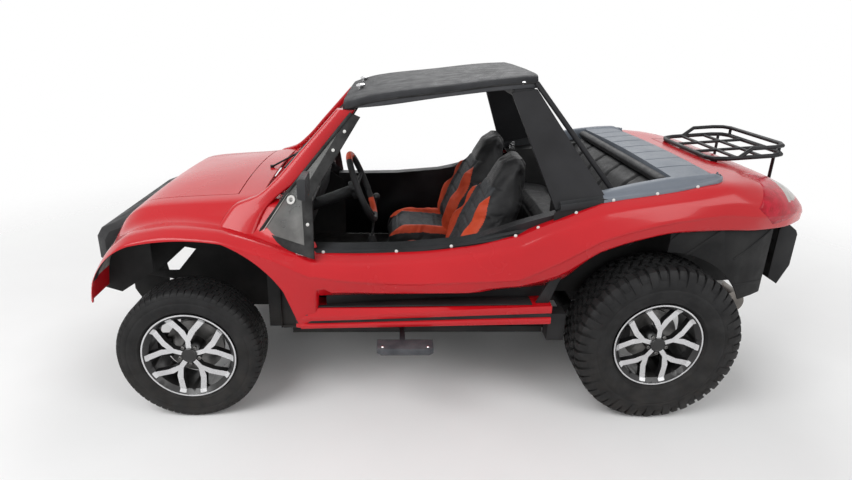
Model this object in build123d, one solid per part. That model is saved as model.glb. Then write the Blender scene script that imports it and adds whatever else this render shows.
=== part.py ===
from build123d import *
import os
from math import cos, radians, sin

# Dune buggy on a shortened rear-engine platform, at its real size in mm.
# The nose points towards -X, the left side towards -Y, Z is up and the road is at z = 0.

# Stance
WHEELBASE = 2110
FRONT_AXLE_X = -1195
REAR_AXLE_X = FRONT_AXLE_X + WHEELBASE
BODY_HALF = 790
FRONT_WHEEL_Y = BODY_HALF - 120
REAR_WHEEL_Y = BODY_HALF - 98

# Wheels and tyres
FRONT_TYRE_R = 317
FRONT_TYRE_W = 200
REAR_TYRE_R = 384
REAR_TYRE_W = 265
RIM_BEAD_R = 190
RIM_LIP_R = 207
FRONT_RIM_HALF = 90
REAR_RIM_HALF = 103
FLANGE = 12
KINGPIN_Y = FRONT_WHEEL_Y - 110
STUB_R = 20

# Shell and sheet thicknesses
SHELL = 15
PANEL = 6
FLOOR = 12
GLASS = 6

# Clearances
LID_GAP = 6
SEAT_GAP = 0.3
TYRE_GAP = 0.3
BEARING_GAP = 0.05
ARCH_GAP = 45
RUN_GAP = 5

# Platform heights and widths
FLOOR_Z = 395
FLOOR_HALF = BODY_HALF - 150
TUNNEL_HALF = 100
TUNNEL_Z = 545
LINER_Y = BODY_HALF - 145
KICK_Z = 550

os.makedirs("parts", exist_ok=True)


def box(x0, x1, y0, y1, z0, z1):
    """Block between two corners."""
    solid = Solid.make_box(x1 - x0, y1 - y0, z1 - z0)
    return solid.moved(Location((x0, y0, z0)))


def section(x, points):
    """Closed outline of (y, z) points across the car at x."""
    return Wire.make_polygon([Vector(x, y, z) for y, z in points], close=True)


def skin(rows):
    """Solid through outlines across the car: rows of (x, points)."""
    return Solid.make_loft([section(x, points) for x, points in rows], ruled=True)


def slab(points, y0, y1):
    """Side outline of (x, z) points, from y0 to y1."""
    outline = Wire.make_polygon([Vector(x, y0, z) for x, z in points], close=True)
    return Solid.extrude(Face(outline), Vector(0, y1 - y0, 0))


def plan(points, z0, z1):
    """Plan outline of (x, y) points, from z0 to z1."""
    outline = Wire.make_polygon([Vector(x, y, z0) for x, y in points], close=True)
    return Solid.extrude(Face(outline), Vector(0, 0, z1 - z0))


def rod(start, end, radius):
    """Round bar between two points."""
    start = Vector(*start)
    run = Vector(*end) - start
    return Solid.make_cylinder(radius, run.length, Plane(origin=start, z_dir=run))


def post(x, y, z, radius, height):
    """Upright round bar from z upwards."""
    return Solid.make_cylinder(radius, height, Plane((x, y, z)))


def turned(points, centre):
    """Solid turned round a line along Y, from (y, radius) points measured at the centre."""
    x, y, z = centre
    outline = Wire.make_polygon([Vector(x, y + dy, z + r) for dy, r in points], close=True)
    return Solid.revolve(Face(outline), 360, Axis((x, y, z), (0, 1, 0)))


def across(shape):
    """The same shape on the other side of the car."""
    return shape.mirror(Plane.XZ)


def joined(shapes):
    """One solid from several that meet."""
    body = shapes[0]
    for shape in shapes[1:]:
        body = body + shape
    return body


def along(line, x):
    """Value at x on a line of (x, value) points."""
    for (x0, value0), (x1, value1) in zip(line, line[1:]):
        if x <= x1:
            return value0 + (value1 - value0) * (x - x0) / (x1 - x0)
    return line[-1][1]


def write(node, *shapes):
    """Write one node, of one solid or of several that don't touch."""
    solids = [solid for shape in shapes for solid in shape.solids()]
    whole = solids[0] if len(solids) == 1 else Compound(solids)
    export_step(whole, f"parts/{node}.step")


# Nose, bonnet top and front wings, in one skin from the bumper to the cockpit.
# columns: x from the front axle, z on the centre line, then (y inset, z) pairs:
# nose crease, wing valley, wing crown, shoulder, low side, bottom edge
NOSE = [
    (-367, 600, (290, 600), (190, 598), (90, 596), (40, 592), (39, 589), (38, 585)),
    (-350, 730, (285, 725), (188, 700), (85, 690), (33, 665), (31, 620), (30, 575)),
    (-310, 835, (278, 825), (186, 785), (78, 765), (28, 735), (26, 650), (25, 565)),
    (-260, 905, (272, 895), (184, 835), (74, 820), (25, 790), (22, 670), (20, 555)),
    (-185, 950, (265, 935), (182, 868), (70, 870), (22, 842), (20, 690), (18, 530)),
    (0, 985, (258, 955), (178, 893), (65, 900), (18, 870), (16, 690), (15, 500)),
    (155, 1000, (250, 967), (160, 880), (60, 893), (14, 862), (12, 680), (10, 480)),
    (295, 1002, (230, 980), (125, 847), (45, 862), (6, 825), (8, 675), (8, 462)),
    (415, 1002, (190, 980), (85, 822), (35, 825), (0, 785), (12, 670), (30, 456)),
    (555, 1002, (190, 980), (70, 806), (22, 790), (0, 728), (15, 668), (45, 455)),
]
NOSE_TIP_X = FRONT_AXLE_X + NOSE[0][0]


def half_outlines(table, axle_x, inset):
    """Outlines across the car from a table of centre heights and (y inset, z) pairs, moved inwards."""
    rows = []
    for dx, top, *pairs in table:
        left = [(-(BODY_HALF - dy) + inset, z - inset) for dy, z in pairs]
        left[-1] = (left[-1][0], pairs[-1][1] - 2 * inset)
        right = [(-y, z) for y, z in left]
        rows.append((axle_x + dx, left[::-1] + [(0, top - inset)] + right))
    return rows


# Side walls between the arches.
# columns: share of the run from the nose to the rear band, rim z, shoulder z, crease z,
# band's low z, tuck inset and z, tread z, sill's top z, sill's bottom z
SIDE = [
    (0.0, 806, 790, 728, 668, 45, 620, 555, 520, 459),
    (0.152, 808, 785, 710, 672, 80, 610, 556, 526, 462),
    (0.357, 820, 797, 702, 664, 105, 600, 558, 536, 466),
    (0.609, 862, 838, 722, 668, 122, 600, 562, 549, 472),
    (0.841, 950, 915, 782, 722, 122, 625, 567, 560, 477),
    (1.0, 1000, 968, 838, 773, 122, 650, 571, 568, 480),
]
RIM_INSET = 70
SHOULDER_INSET = 22
LOW_INSET = 15
SILL_INSET = 20
SILL_GROOVE = 7

# Band over the rear wheels.
# columns: x from the rear axle, rim z, shoulder z, crease z, low z, outer inset
BAND = [
    (-504, 1000, 968, 838, 773, 0),
    (-324, 1027, 995, 893, 841, 5),
    (-157, 1050, 1022, 940, 892, 12),
    (13, 1075, 1045, 975, 925, 22),
    (235, 1118, 1080, 1000, 932, 40),
]
BAND_IN = 145
SIDE_FRONT_X = FRONT_AXLE_X + NOSE[-1][0]
SIDE_REAR_X = REAR_AXLE_X + BAND[0][0]

# Tail behind the deck.
# columns: x from the rear axle, z on the centre line, then (y inset, z) pairs:
# top, edge, shoulder, crease, low edge
TAIL = [
    (235, 1118, (230, 1118), (90, 1112), (42, 1060), (38, 995), (55, 932)),
    (355, 1117, (250, 1120), (115, 1108), (55, 1050), (48, 988), (68, 928)),
    (458, 1110, (270, 1110), (150, 1084), (85, 1038), (80, 982), (100, 925)),
    (555, 1090, (290, 1088), (195, 1058), (140, 1020), (130, 975), (142, 922)),
    (635, 1056, (330, 1052), (250, 1030), (205, 1000), (190, 965), (200, 920)),
    (695, 1000, (370, 998), (300, 985), (260, 970), (250, 950), (255, 918)),
    (717, 930, (390, 930), (330, 928), (300, 925), (290, 922), (290, 916)),
]
TAIL_TIP_X = REAR_AXLE_X + TAIL[-1][0]


def side_x(share):
    """Place on the run of the side wall from the nose to the rear band."""
    return SIDE_FRONT_X + share * (SIDE_REAR_X - SIDE_FRONT_X)


# Lines along the rim of the body: its height, and where the cabin starts inside it
rim_line = [(side_x(row[0]), row[1]) for row in SIDE]
rim_line = rim_line + [(REAR_AXLE_X + row[0], row[1]) for row in BAND[1:]]
edge_line = [(side_x(row[0]), LINER_Y) for row in SIDE]
edge_line = edge_line + [(REAR_AXLE_X + row[0], BODY_HALF - row[5] - BAND_IN) for row in BAND[1:]]

# Front arch opening in the side, (x from the front axle, z), with its rounded top
ARCH_LOW_Z = 300
front_arch_path = [
    (-366, 585),
    (-322, 735),
    (-185, 842),
    (-10, 868),
    (195, 858),
    (330, 775),
    (436, 645),
    (500, 455),
]


def front_arch_tool(y0, y1):
    """Opening of the front arch as a prism between y0 and y1."""
    pts = [Vector(FRONT_AXLE_X + px, y0, pz) for px, pz in front_arch_path]
    low_rear = Vector(pts[7].X, y0, ARCH_LOW_Z)
    low_front = Vector(pts[0].X, y0, ARCH_LOW_Z)
    edges = [
        Edge.make_three_point_arc(pts[0], pts[1], pts[2]),
        Edge.make_three_point_arc(pts[2], pts[3], pts[4]),
        Edge.make_three_point_arc(pts[4], pts[5], pts[6]),
        Edge.make_line(pts[6], pts[7]),
        Edge.make_line(pts[7], low_rear),
        Edge.make_line(low_rear, low_front),
        Edge.make_line(low_front, pts[0]),
    ]
    return Solid.extrude(Face(Wire(edges)), Vector(0, y1 - y0, 0))


# Small strap hinges of both lids: a leaf with a barrel on the lid, lugs with a pin on the body.
# Outlines are (towards the lid, above the pin's axis).
PIN_R = 4
BARREL_R = 8
LEAF_W = 24
LUG_T = 8
LUG_GAP = 1
LEAF = [(55, -29), (55, -12), (5, 7), (0, BARREL_R), (0, -BARREL_R), (6, -27)]
LUG = [(-22, -28), (-11, -28), (-9, -9), (8, -9), (8, BARREL_R), (-9, BARREL_R), (-22, 0)]


def hinge_leaf(axis_x, axis_z, y, facing):
    """Leaf and barrel on the lid, which lies on the facing side (-1 or 1) of the axis."""
    outline = [(axis_x + facing * dx, axis_z + dz) for dx, dz in LEAF]
    leaf = slab(outline, y - LEAF_W / 2, y + LEAF_W / 2)
    barrel = rod((axis_x, y - LEAF_W / 2, axis_z), (axis_x, y + LEAF_W / 2, axis_z), BARREL_R)
    bore = rod((axis_x, y - LEAF_W, axis_z), (axis_x, y + LEAF_W, axis_z), PIN_R + SEAT_GAP)
    return (leaf + barrel) - bore


def hinge_lugs(axis_x, axis_z, y, facing):
    """Two lugs on the body with the pin through the barrel."""
    outline = [(axis_x + facing * dx, axis_z + dz) for dx, dz in LUG]
    near = LEAF_W / 2 + LUG_GAP
    far = near + LUG_T
    pin = rod((axis_x, y - far, axis_z), (axis_x, y + far, axis_z), PIN_R)
    return joined([pin, slab(outline, y - far, y - near), slab(outline, y + near, y + far)])


# Red front body: the skin less its inside, arches, bonnet opening and cockpit
COWL_X = FRONT_AXLE_X + 312
PILLAR_BASE_HALF = BODY_HALF - 190
COWL_HALF = PILLAR_BASE_HALF - 40
COWL_DEPTH = 90
BONNET_FRONT_X = FRONT_AXLE_X - 275
BONNET_REAR_X = FRONT_AXLE_X + 200
BONNET_FRONT_Y = BODY_HALF - 350
BONNET_REAR_Y = BODY_HALF - 320
BONNET_HINGE_Z = 1002
BONNET_HINGE_Y = 300
LID_FLOOR_Z = 700
SKY_Z = 1200
LAMP_DEPTH = 105
LAMP_Z = (690, 812)
LAMP_Y = (-BODY_HALF + 75, -BODY_HALF + 270)


def bonnet_plan(gap):
    """Plan outline of the bonnet, grown by the gap."""
    front_x, rear_x = BONNET_FRONT_X - gap, BONNET_REAR_X + gap
    front_y, rear_y = BONNET_FRONT_Y + gap, BONNET_REAR_Y + gap
    return [(front_x, -front_y), (rear_x, -rear_y), (rear_x, rear_y), (front_x, front_y)]


nose_outer = skin(half_outlines(NOSE, FRONT_AXLE_X, 0))
nose_inner = skin(half_outlines(NOSE, FRONT_AXLE_X + SHELL, SHELL))
cockpit_cut = [
    (COWL_X, COWL_HALF),
    (COWL_X + COWL_DEPTH, COWL_HALF),
    (COWL_X + 230, BODY_HALF - 100),
    (SIDE_FRONT_X + 45, BODY_HALF - 90),
]
cockpit_cut = cockpit_cut + [(x, -y) for x, y in cockpit_cut[::-1]]
nose_shell = nose_outer - nose_inner
lamp_x = NOSE_TIP_X - 13
lamp_block = box(lamp_x, lamp_x + LAMP_DEPTH, *LAMP_Y, *LAMP_Z)
headlamp = (nose_outer & lamp_block) - nose_inner
front_body = nose_shell - plan(bonnet_plan(LID_GAP), LID_FLOOR_Z, SKY_Z)
front_body = front_body - front_arch_tool(-BODY_HALF - 20, -LINER_Y + 235)
front_body = front_body - front_arch_tool(LINER_Y - 235, BODY_HALF + 20)
front_body = front_body - plan(cockpit_cut, ARCH_LOW_Z, SKY_Z)
front_body = front_body - lamp_block - across(lamp_block)
bonnet = nose_shell & plan(bonnet_plan(0), LID_FLOOR_Z, SKY_Z)
for y in (-BONNET_HINGE_Y, BONNET_HINGE_Y):
    front_body = front_body + hinge_lugs(BONNET_REAR_X, BONNET_HINGE_Z, y, -1)
    bonnet = bonnet + hinge_leaf(BONNET_REAR_X, BONNET_HINGE_Z, y, -1)
write("front_body", front_body)
write("headlamps", headlamp, across(headlamp))
write("bonnet", bonnet)

# Red side walls, with a sill of two ribs under the shelf
side_rows = []
for share, rim, shoulder, crease, low, tuck, tuck_z, tread, lip, sill in SIDE:
    face = -(BODY_HALF - SILL_INSET)
    rib = (lip - sill) * 0.36
    outline = [
        (-LINER_Y, rim),
        (-(BODY_HALF - RIM_INSET), rim),
        (-(BODY_HALF - SHOULDER_INSET), shoulder),
        (-BODY_HALF, crease),
        (-(BODY_HALF - LOW_INSET), low),
        (-(BODY_HALF - tuck), tuck_z),
        (-(BODY_HALF - tuck), tread),
        (face + 14, tread),
        (face, lip),
        (face, lip - rib),
        (face + SILL_GROOVE, lip - rib - 3),
        (face + SILL_GROOVE, sill + rib + 3),
        (face, sill + rib),
        (face, sill + 6),
        (face + 6, sill),
        (-LINER_Y, sill),
    ]
    side_rows.append((side_x(share), outline))
side_left = skin(side_rows)
write("side_bodies", side_left, across(side_left))

# Red rear body: a band over each rear wheel and the tail behind the deck
band_rows = []
for dx, rim, shoulder, crease, low, inset in BAND:
    out = BODY_HALF - inset
    outline = [
        (-(out - BAND_IN), rim),
        (-(out - RIM_INSET), rim),
        (-(out - SHOULDER_INSET), shoulder),
        (-out, crease),
        (-(out - LOW_INSET), low),
        (-(out - LOW_INSET - 2 * SHELL), low),
        (-(out - 2 * SHELL), crease),
        (-(out - RIM_INSET - SHELL), rim - 3 * SHELL),
        (-(out - BAND_IN), rim - 3 * SHELL),
    ]
    band_rows.append((REAR_AXLE_X + dx, outline))
band_left = skin(band_rows)
tail_outer = skin(half_outlines(TAIL, REAR_AXLE_X, 0))
tail_inner = skin(half_outlines(TAIL, REAR_AXLE_X - SHELL, SHELL))
LID_FRONT_X = REAR_AXLE_X + 325
LID_REAR_X = TAIL_TIP_X - 27
LID_HALF = 330
LID_HINGE_Z = 1134
LID_HINGE_Y = 200
LID_DEPTH_Z = 940
# Outline of the tail lamps, (x from the rear axle, z)
LAMP_OUTLINE = [(353, 1028), (415, 1128), (480, 1150), (600, 1150), (700, 1010), (560, 955), (462, 942)]
LAMP_IN_Y = BODY_HALF - 290
tail_shell = tail_outer - tail_inner
lamp_prism = slab([(REAR_AXLE_X + x, z) for x, z in LAMP_OUTLINE], -BODY_HALF, -LAMP_IN_Y)
tail_lamp = (tail_outer & lamp_prism) - tail_inner
lid_hole = box(
    LID_FRONT_X - LID_GAP,
    LID_REAR_X + LID_GAP,
    -LID_HALF - LID_GAP,
    LID_HALF + LID_GAP,
    LID_DEPTH_Z,
    SKY_Z,
)
engine_lid = tail_shell & box(LID_FRONT_X, LID_REAR_X, -LID_HALF, LID_HALF, LID_DEPTH_Z + 10, SKY_Z)
tail_shell = tail_shell - lamp_prism - across(lamp_prism)
rear_body = (tail_shell - lid_hole) + band_left + across(band_left)
for y in (-LID_HINGE_Y, LID_HINGE_Y):
    rear_body = rear_body + hinge_lugs(LID_FRONT_X, LID_HINGE_Z, y, 1)
    engine_lid = engine_lid + hinge_leaf(LID_FRONT_X, LID_HINGE_Z, y, 1)
write("rear_body", rear_body)
write("engine_lid", engine_lid)
write("tail_lamps", tail_lamp, across(tail_lamp))

# Platform: floor with a tunnel, narrowed between the front wheels
LINER_IN_Y = KINGPIN_Y - 165
LINER_FRONT_X = FRONT_AXLE_X - 300
LINER_REAR_X = FRONT_AXLE_X + 390
PAN_FRONT_X = LINER_REAR_X + PANEL + SEAT_GAP
PAN_REAR_X = SIDE_REAR_X + 9
HEAD_FRONT_X = FRONT_AXLE_X - 90
HEAD_HALF = LINER_IN_Y - SEAT_GAP
pan_outline = [
    (-FLOOR_HALF, FLOOR_Z),
    (FLOOR_HALF, FLOOR_Z),
    (FLOOR_HALF, FLOOR_Z + FLOOR),
    (TUNNEL_HALF, FLOOR_Z + FLOOR),
    (TUNNEL_HALF * 0.7, TUNNEL_Z),
    (-TUNNEL_HALF * 0.7, TUNNEL_Z),
    (-TUNNEL_HALF, FLOOR_Z + FLOOR),
    (-FLOOR_HALF, FLOOR_Z + FLOOR),
]
pan = skin([(PAN_FRONT_X, pan_outline), (PAN_REAR_X, pan_outline)])
head_outline = [(max(-HEAD_HALF, min(HEAD_HALF, y)), z) for y, z in pan_outline]
head = skin([(HEAD_FRONT_X, head_outline), (PAN_FRONT_X, head_outline)])
RAIL_Y = FLOOR_HALF - 80
RAIL_W = 50
RAIL_H = 40
rail = box(PAN_FRONT_X + 40, PAN_REAR_X, -RAIL_Y - RAIL_W, -RAIL_Y, FLOOR_Z - RAIL_H, FLOOR_Z)
KICK_HALF = LINER_Y - PANEL - SEAT_GAP
kick = box(PAN_REAR_X - FLOOR, PAN_REAR_X, -KICK_HALF, KICK_HALF, FLOOR_Z, KICK_Z)
floor_pan = joined([pan, head, rail, across(rail), kick])
write("floor_pan", floor_pan)

# Rear tub: floor and walls between the rear wheels, with a shelf over each wheel
TUB_HALF = REAR_WHEEL_Y - REAR_TYRE_W / 2 - 22
TUB_FRONT_X = PAN_REAR_X + SEAT_GAP
TUB_REAR_X = REAR_AXLE_X + TAIL[0][0] - 3
BULKHEAD_X = REAR_AXLE_X + 22


def shelf_z(x):
    """Top of the tub's shelf, a little under the rim."""
    return along(rim_line, x) - PANEL


def tub_section(x, floor_z):
    """Outline of the tub's sheet across the car at x, open at the top."""
    edge = along(edge_line, x) - SEAT_GAP
    top = shelf_z(x)
    left = [
        (-edge, top - PANEL),
        (-edge, top),
        (-TUB_HALF + PANEL, top),
        (-TUB_HALF + PANEL, floor_z + FLOOR),
    ]
    right = [(-y, z) for y, z in left[::-1]]
    under = [(TUB_HALF, top - PANEL), (TUB_HALF, floor_z), (-TUB_HALF, floor_z), (-TUB_HALF, top - PANEL)]
    return left + right + under


def wing_section(x):
    """Outline of one wall with its shelf behind the bulkhead."""
    edge = along(edge_line, x) - SEAT_GAP
    top = shelf_z(x)
    return [
        (-edge, top - PANEL),
        (-edge, top),
        (-TUB_HALF + PANEL, top),
        (-TUB_HALF + PANEL, KICK_Z),
        (-TUB_HALF, KICK_Z),
        (-TUB_HALF, top - PANEL),
    ]


tub_stations = [TUB_FRONT_X] + [REAR_AXLE_X + row[0] for row in BAND[1:4]] + [BULKHEAD_X]
tub = skin([(x, tub_section(x, KICK_Z - FLOOR)) for x in tub_stations])
bulkhead_top = shelf_z(BULKHEAD_X - PANEL)
bulkhead = box(BULKHEAD_X - PANEL, BULKHEAD_X, -TUB_HALF, TUB_HALF, KICK_Z - FLOOR, bulkhead_top)
wing_wall = skin([(x, wing_section(x)) for x in (BULKHEAD_X, TUB_REAR_X)])
rear_tub = joined([tub, bulkhead, wing_wall, across(wing_wall)])
write("rear_tub", rear_tub)

# Front axle beam: two tubes with end plates and trailing arms back to the kingpins
BEAM_X = FRONT_AXLE_X - 130
BEAM_TUBE_R = 26
BEAM_HALF = KINGPIN_Y - 140
BEAM_PLATE_IN = 40
BEAM_PLATE_T = 15
BEAM_PLATE_W = 30
ARM_SPREAD = 62
KINGPIN_R = 20
EYE_R = 32
EYE_H = 22
beam = []
for dz in (-ARM_SPREAD, ARM_SPREAD):
    beam_z = FRONT_TYRE_R + dz
    beam.append(rod((BEAM_X, -BEAM_HALF, beam_z), (BEAM_X, BEAM_HALF, beam_z), BEAM_TUBE_R))
plate_out = BEAM_HALF - BEAM_PLATE_IN
beam_plate = box(
    BEAM_X - BEAM_PLATE_W,
    BEAM_X + BEAM_PLATE_W,
    -plate_out,
    -plate_out + BEAM_PLATE_T,
    FRONT_TYRE_R - 100,
    FRONT_TYRE_R + 250,
)
beam = beam + [beam_plate, across(beam_plate)]
beam.append(box(BEAM_X + 10, HEAD_FRONT_X, -60, 60, FRONT_TYRE_R - 40, FLOOR_Z + FLOOR))
for side in (-1, 1):
    for dz in (-ARM_SPREAD, ARM_SPREAD):
        arm_z = FRONT_TYRE_R + dz - EYE_H / 2
        arm = plan(
            [
                (BEAM_X - 20, side * (BEAM_HALF - 20)),
                (BEAM_X + 20, side * (BEAM_HALF - 30)),
                (FRONT_AXLE_X + 5, side * (KINGPIN_Y - 25)),
                (FRONT_AXLE_X - 25, side * (KINGPIN_Y + 5)),
            ],
            arm_z,
            arm_z + EYE_H,
        )
        beam = beam + [arm, post(FRONT_AXLE_X, side * KINGPIN_Y, arm_z, EYE_R, EYE_H)]
# Tow tab in front of the lower tube, with an upright eye
TOW_R = 12.5
TOW_X = BEAM_X - 62
TOW_T = 14
TOW_HALF = 28
TOW_Z = FRONT_TYRE_R - ARM_SPREAD
tow_tab = box(TOW_X - TOW_HALF, BEAM_X, -TOW_HALF, TOW_HALF, TOW_Z - TOW_T / 2, TOW_Z + TOW_T / 2)
front_beam = joined(beam + [tow_tab]) - post(TOW_X, 0, TOW_Z - TOW_T, TOW_R, 2 * TOW_T)
pin_reach = ARM_SPREAD + EYE_H
for side in (-1, 1):
    pin_z = FRONT_TYRE_R - pin_reach
    front_beam = front_beam - post(FRONT_AXLE_X, side * KINGPIN_Y, pin_z, KINGPIN_R + SEAT_GAP, 2 * pin_reach)
write("front_beam", front_beam)

# Brake callipers over the front of each disc
DISC_R = 128
DISC_T = 22
DISC_IN = 20
CALLIPER_X = (-162, -98)
CALLIPER_T = 56
CALLIPER_H = 45
CALLIPER_ARM_H = 14


def calliper(side, axle_x, wheel_y, axle_z, carrier_y):
    """Calliper on the left (-1) or right (1), with an arm to its carrier."""
    disc_y = side * (wheel_y - DISC_IN)
    half = CALLIPER_T / 2
    front, rear = CALLIPER_X
    block = box(
        axle_x + front,
        axle_x + rear,
        disc_y - half,
        disc_y + half,
        axle_z - CALLIPER_H,
        axle_z + CALLIPER_H,
    )
    slot_half = DISC_T / 2 + RUN_GAP
    slot = rod((axle_x, disc_y - slot_half, axle_z), (axle_x, disc_y + slot_half, axle_z), DISC_R + RUN_GAP)
    near, far = sorted((side * carrier_y, disc_y - side * slot_half))
    arm = box(axle_x + rear - 10, axle_x, near, far, axle_z - CALLIPER_ARM_H, axle_z + CALLIPER_ARM_H)
    return (block - slot) + arm


# Steering knuckles: kingpin, stub axle, calliper and steering arm
STUB_END_Y = FRONT_WHEEL_Y - 5
ARM_REACH = 130
ARM_Z = FRONT_TYRE_R + 20
ARM_T = 16
BOSS_R = 30
BALL_R = 8


def knuckle(side):
    """Knuckle on the left (-1) or right (1)."""
    y = side * KINGPIN_Y
    boss_half = ARM_SPREAD - EYE_H / 2 - RUN_GAP
    pin = post(FRONT_AXLE_X, y, FRONT_TYRE_R - pin_reach, KINGPIN_R, 2 * pin_reach)
    boss = post(FRONT_AXLE_X, y, FRONT_TYRE_R - boss_half, BOSS_R, 2 * boss_half)
    stub = rod((FRONT_AXLE_X, y, FRONT_TYRE_R), (FRONT_AXLE_X, side * STUB_END_Y, FRONT_TYRE_R), STUB_R)
    arm = plan(
        [
            (FRONT_AXLE_X, y - 20),
            (FRONT_AXLE_X + ARM_REACH, y - 12),
            (FRONT_AXLE_X + ARM_REACH, y + 12),
            (FRONT_AXLE_X, y + 20),
        ],
        ARM_Z - ARM_T / 2,
        ARM_Z + ARM_T / 2,
    )
    ball = post(FRONT_AXLE_X + ARM_REACH, y, ARM_Z - ARM_T / 2, BALL_R, 40)
    brake = calliper(side, FRONT_AXLE_X, FRONT_WHEEL_Y, FRONT_TYRE_R, KINGPIN_Y + 15)
    return joined([pin, boss, stub, arm, ball, brake])


write("knuckle_left", knuckle(-1))
write("knuckle_right", knuckle(1))

# Track rod between the steering arms, its eyes round their pins
ROD_Z = ARM_Z + 22
ROD_X = FRONT_AXLE_X + ARM_REACH
ROD_R = 10
ROD_EYE_R = 16
ROD_EYE_H = 16
bar_half = KINGPIN_Y - ROD_EYE_R + 2
track_rod = rod((ROD_X, -bar_half, ROD_Z), (ROD_X, bar_half, ROD_Z), ROD_R)
for side in (-1, 1):
    track_rod = track_rod + post(ROD_X, side * KINGPIN_Y, ROD_Z - ROD_EYE_H / 2, ROD_EYE_R, ROD_EYE_H)
    track_rod = track_rod - post(ROD_X, side * KINGPIN_Y, ROD_Z - ROD_EYE_H, BALL_R + SEAT_GAP, 2 * ROD_EYE_H)
write("track_rod", track_rod)

# Rear axle: gearbox casing, torsion tube, axle tubes and trailing arms
TORSION_X = REAR_AXLE_X - 330
TORSION_Z = REAR_TYRE_R + 20
TORSION_R = 38
TORSION_HALF = 480
HORN_Y = 250
HORN_T = 14
ARM_IN_Y = TORSION_HALF - 10
GEARBOX = 95
AXLE_TUBE_R = 34
AXLE_TUBE_END = REAR_WHEEL_Y - 60
rear_parts = [
    box(PAN_REAR_X, TORSION_X, -HORN_Y, -HORN_Y + HORN_T, FLOOR_Z - 40, FLOOR_Z + 60),
    box(PAN_REAR_X, TORSION_X, HORN_Y - HORN_T, HORN_Y, FLOOR_Z - 40, FLOOR_Z + 60),
    rod((TORSION_X, -TORSION_HALF, TORSION_Z), (TORSION_X, TORSION_HALF, TORSION_Z), TORSION_R),
    box(TORSION_X - 20, REAR_AXLE_X + 110, -GEARBOX, GEARBOX, REAR_TYRE_R - 110, REAR_TYRE_R + 110),
    rod((REAR_AXLE_X, -AXLE_TUBE_END, REAR_TYRE_R), (REAR_AXLE_X, AXLE_TUBE_END, REAR_TYRE_R), AXLE_TUBE_R),
]
for side in (-1, 1):
    arm_outline = [
        (TORSION_X - 10, TORSION_Z - 35),
        (TORSION_X + 20, TORSION_Z + 35),
        (REAR_AXLE_X + 45, REAR_TYRE_R + 40),
        (REAR_AXLE_X + 45, REAR_TYRE_R - 40),
    ]
    rear_parts.append(slab(arm_outline, side * ARM_IN_Y - HORN_T / 2, side * ARM_IN_Y + HORN_T / 2))
    stub_end = (REAR_AXLE_X, side * (REAR_WHEEL_Y - 5), REAR_TYRE_R)
    rear_parts.append(rod((REAR_AXLE_X, side * (AXLE_TUBE_END - 30), REAR_TYRE_R), stub_end, STUB_R))
    rear_parts.append(calliper(side, REAR_AXLE_X, REAR_WHEEL_Y, REAR_TYRE_R, AXLE_TUBE_END - 20))
write("rear_axle", joined(rear_parts))

# Engine as one plain block behind the axle, and the exhaust under it
ENGINE_X = REAR_AXLE_X + 110
ENGINE_L = 420
engine = box(ENGINE_X, ENGINE_X + ENGINE_L, -330, 330, REAR_TYRE_R - 90, REAR_TYRE_R + 340)
write("engine", engine)
SILENCER_X = ENGINE_X + ENGINE_L + 100
SILENCER_Z = REAR_TYRE_R - 20
SILENCER_HALF = 300
pipes = [rod((SILENCER_X, -SILENCER_HALF, SILENCER_Z), (SILENCER_X, SILENCER_HALF, SILENCER_Z), 60)]
for side in (-1, 1):
    pipes.append(rod((ENGINE_X + ENGINE_L, side * 200, SILENCER_Z), (SILENCER_X, side * 200, SILENCER_Z), 20))
    tip = (SILENCER_X + 100, side * 120, SILENCER_Z - 40)
    pipes.append(rod((SILENCER_X, side * 120, SILENCER_Z - 20), tip, 18))
write("exhaust", joined(pipes))

# Wheels: tyres with their tread, and rims with brake disc and hub
ROAD_GROOVE_Y = 26
ROAD_GROOVE_W = 8
ROAD_GROOVE_D = 7
LUGS = 26
LUG_SLOT_W = 30
LUG_SLOT_D = 13


def tyre(radius, width, rim_half, centre, lugged):
    """Tyre with its beads between the rim's flanges, grooved for the road or cut into lugs."""
    half = width / 2
    bead = RIM_BEAD_R + TYRE_GAP
    bead_y = rim_half - FLANGE - TYRE_GAP
    outer = [
        (bead_y, bead),
        (bead_y, RIM_LIP_R + TYRE_GAP),
        (rim_half - 2, RIM_LIP_R + 8),
        (half, bead + (radius - bead) * 0.45),
        (half * 0.95, radius - 35),
        (half * 0.86, radius - 8),
        (half * 0.70, radius),
    ]
    if not lugged:
        near, far = ROAD_GROOVE_Y - ROAD_GROOVE_W / 2, ROAD_GROOVE_Y + ROAD_GROOVE_W / 2
        outer = outer + [
            (far, radius),
            (far, radius - ROAD_GROOVE_D),
            (near, radius - ROAD_GROOVE_D),
            (near, radius),
        ]
    whole = turned([(-y, r) for y, r in outer] + outer[::-1], centre)
    if not lugged:
        return whole
    x, y, z = centre
    slots = []
    for number in range(2 * LUGS):
        turn = number * 180 / LUGS
        side = -1 if number % 2 else 1
        near, far = sorted((side * half * 0.42, side * (half + 5)))
        slot = box(-LUG_SLOT_W / 2, LUG_SLOT_W / 2, near, far, radius - LUG_SLOT_D, radius + 5)
        slots.append(slot.rotate(Axis.Y, turn).moved(Location((x, y, z))))
    return whole.cut(*slots)


SPOKES = 5
SPOKE_T = 30
CAP_R = 34
CAP_OUT = 4
HUB_R = 50
HUB_IN = 25
STEM_HALF = 11
PRONG_HALF = 14
FORK_R = 72
KNEE_R = 122
KNEE_TURN = 11
FORK_TURN = 22
BARREL_T = 12
OUTER_WELL = 18
INNER_WELL = 14


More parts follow.
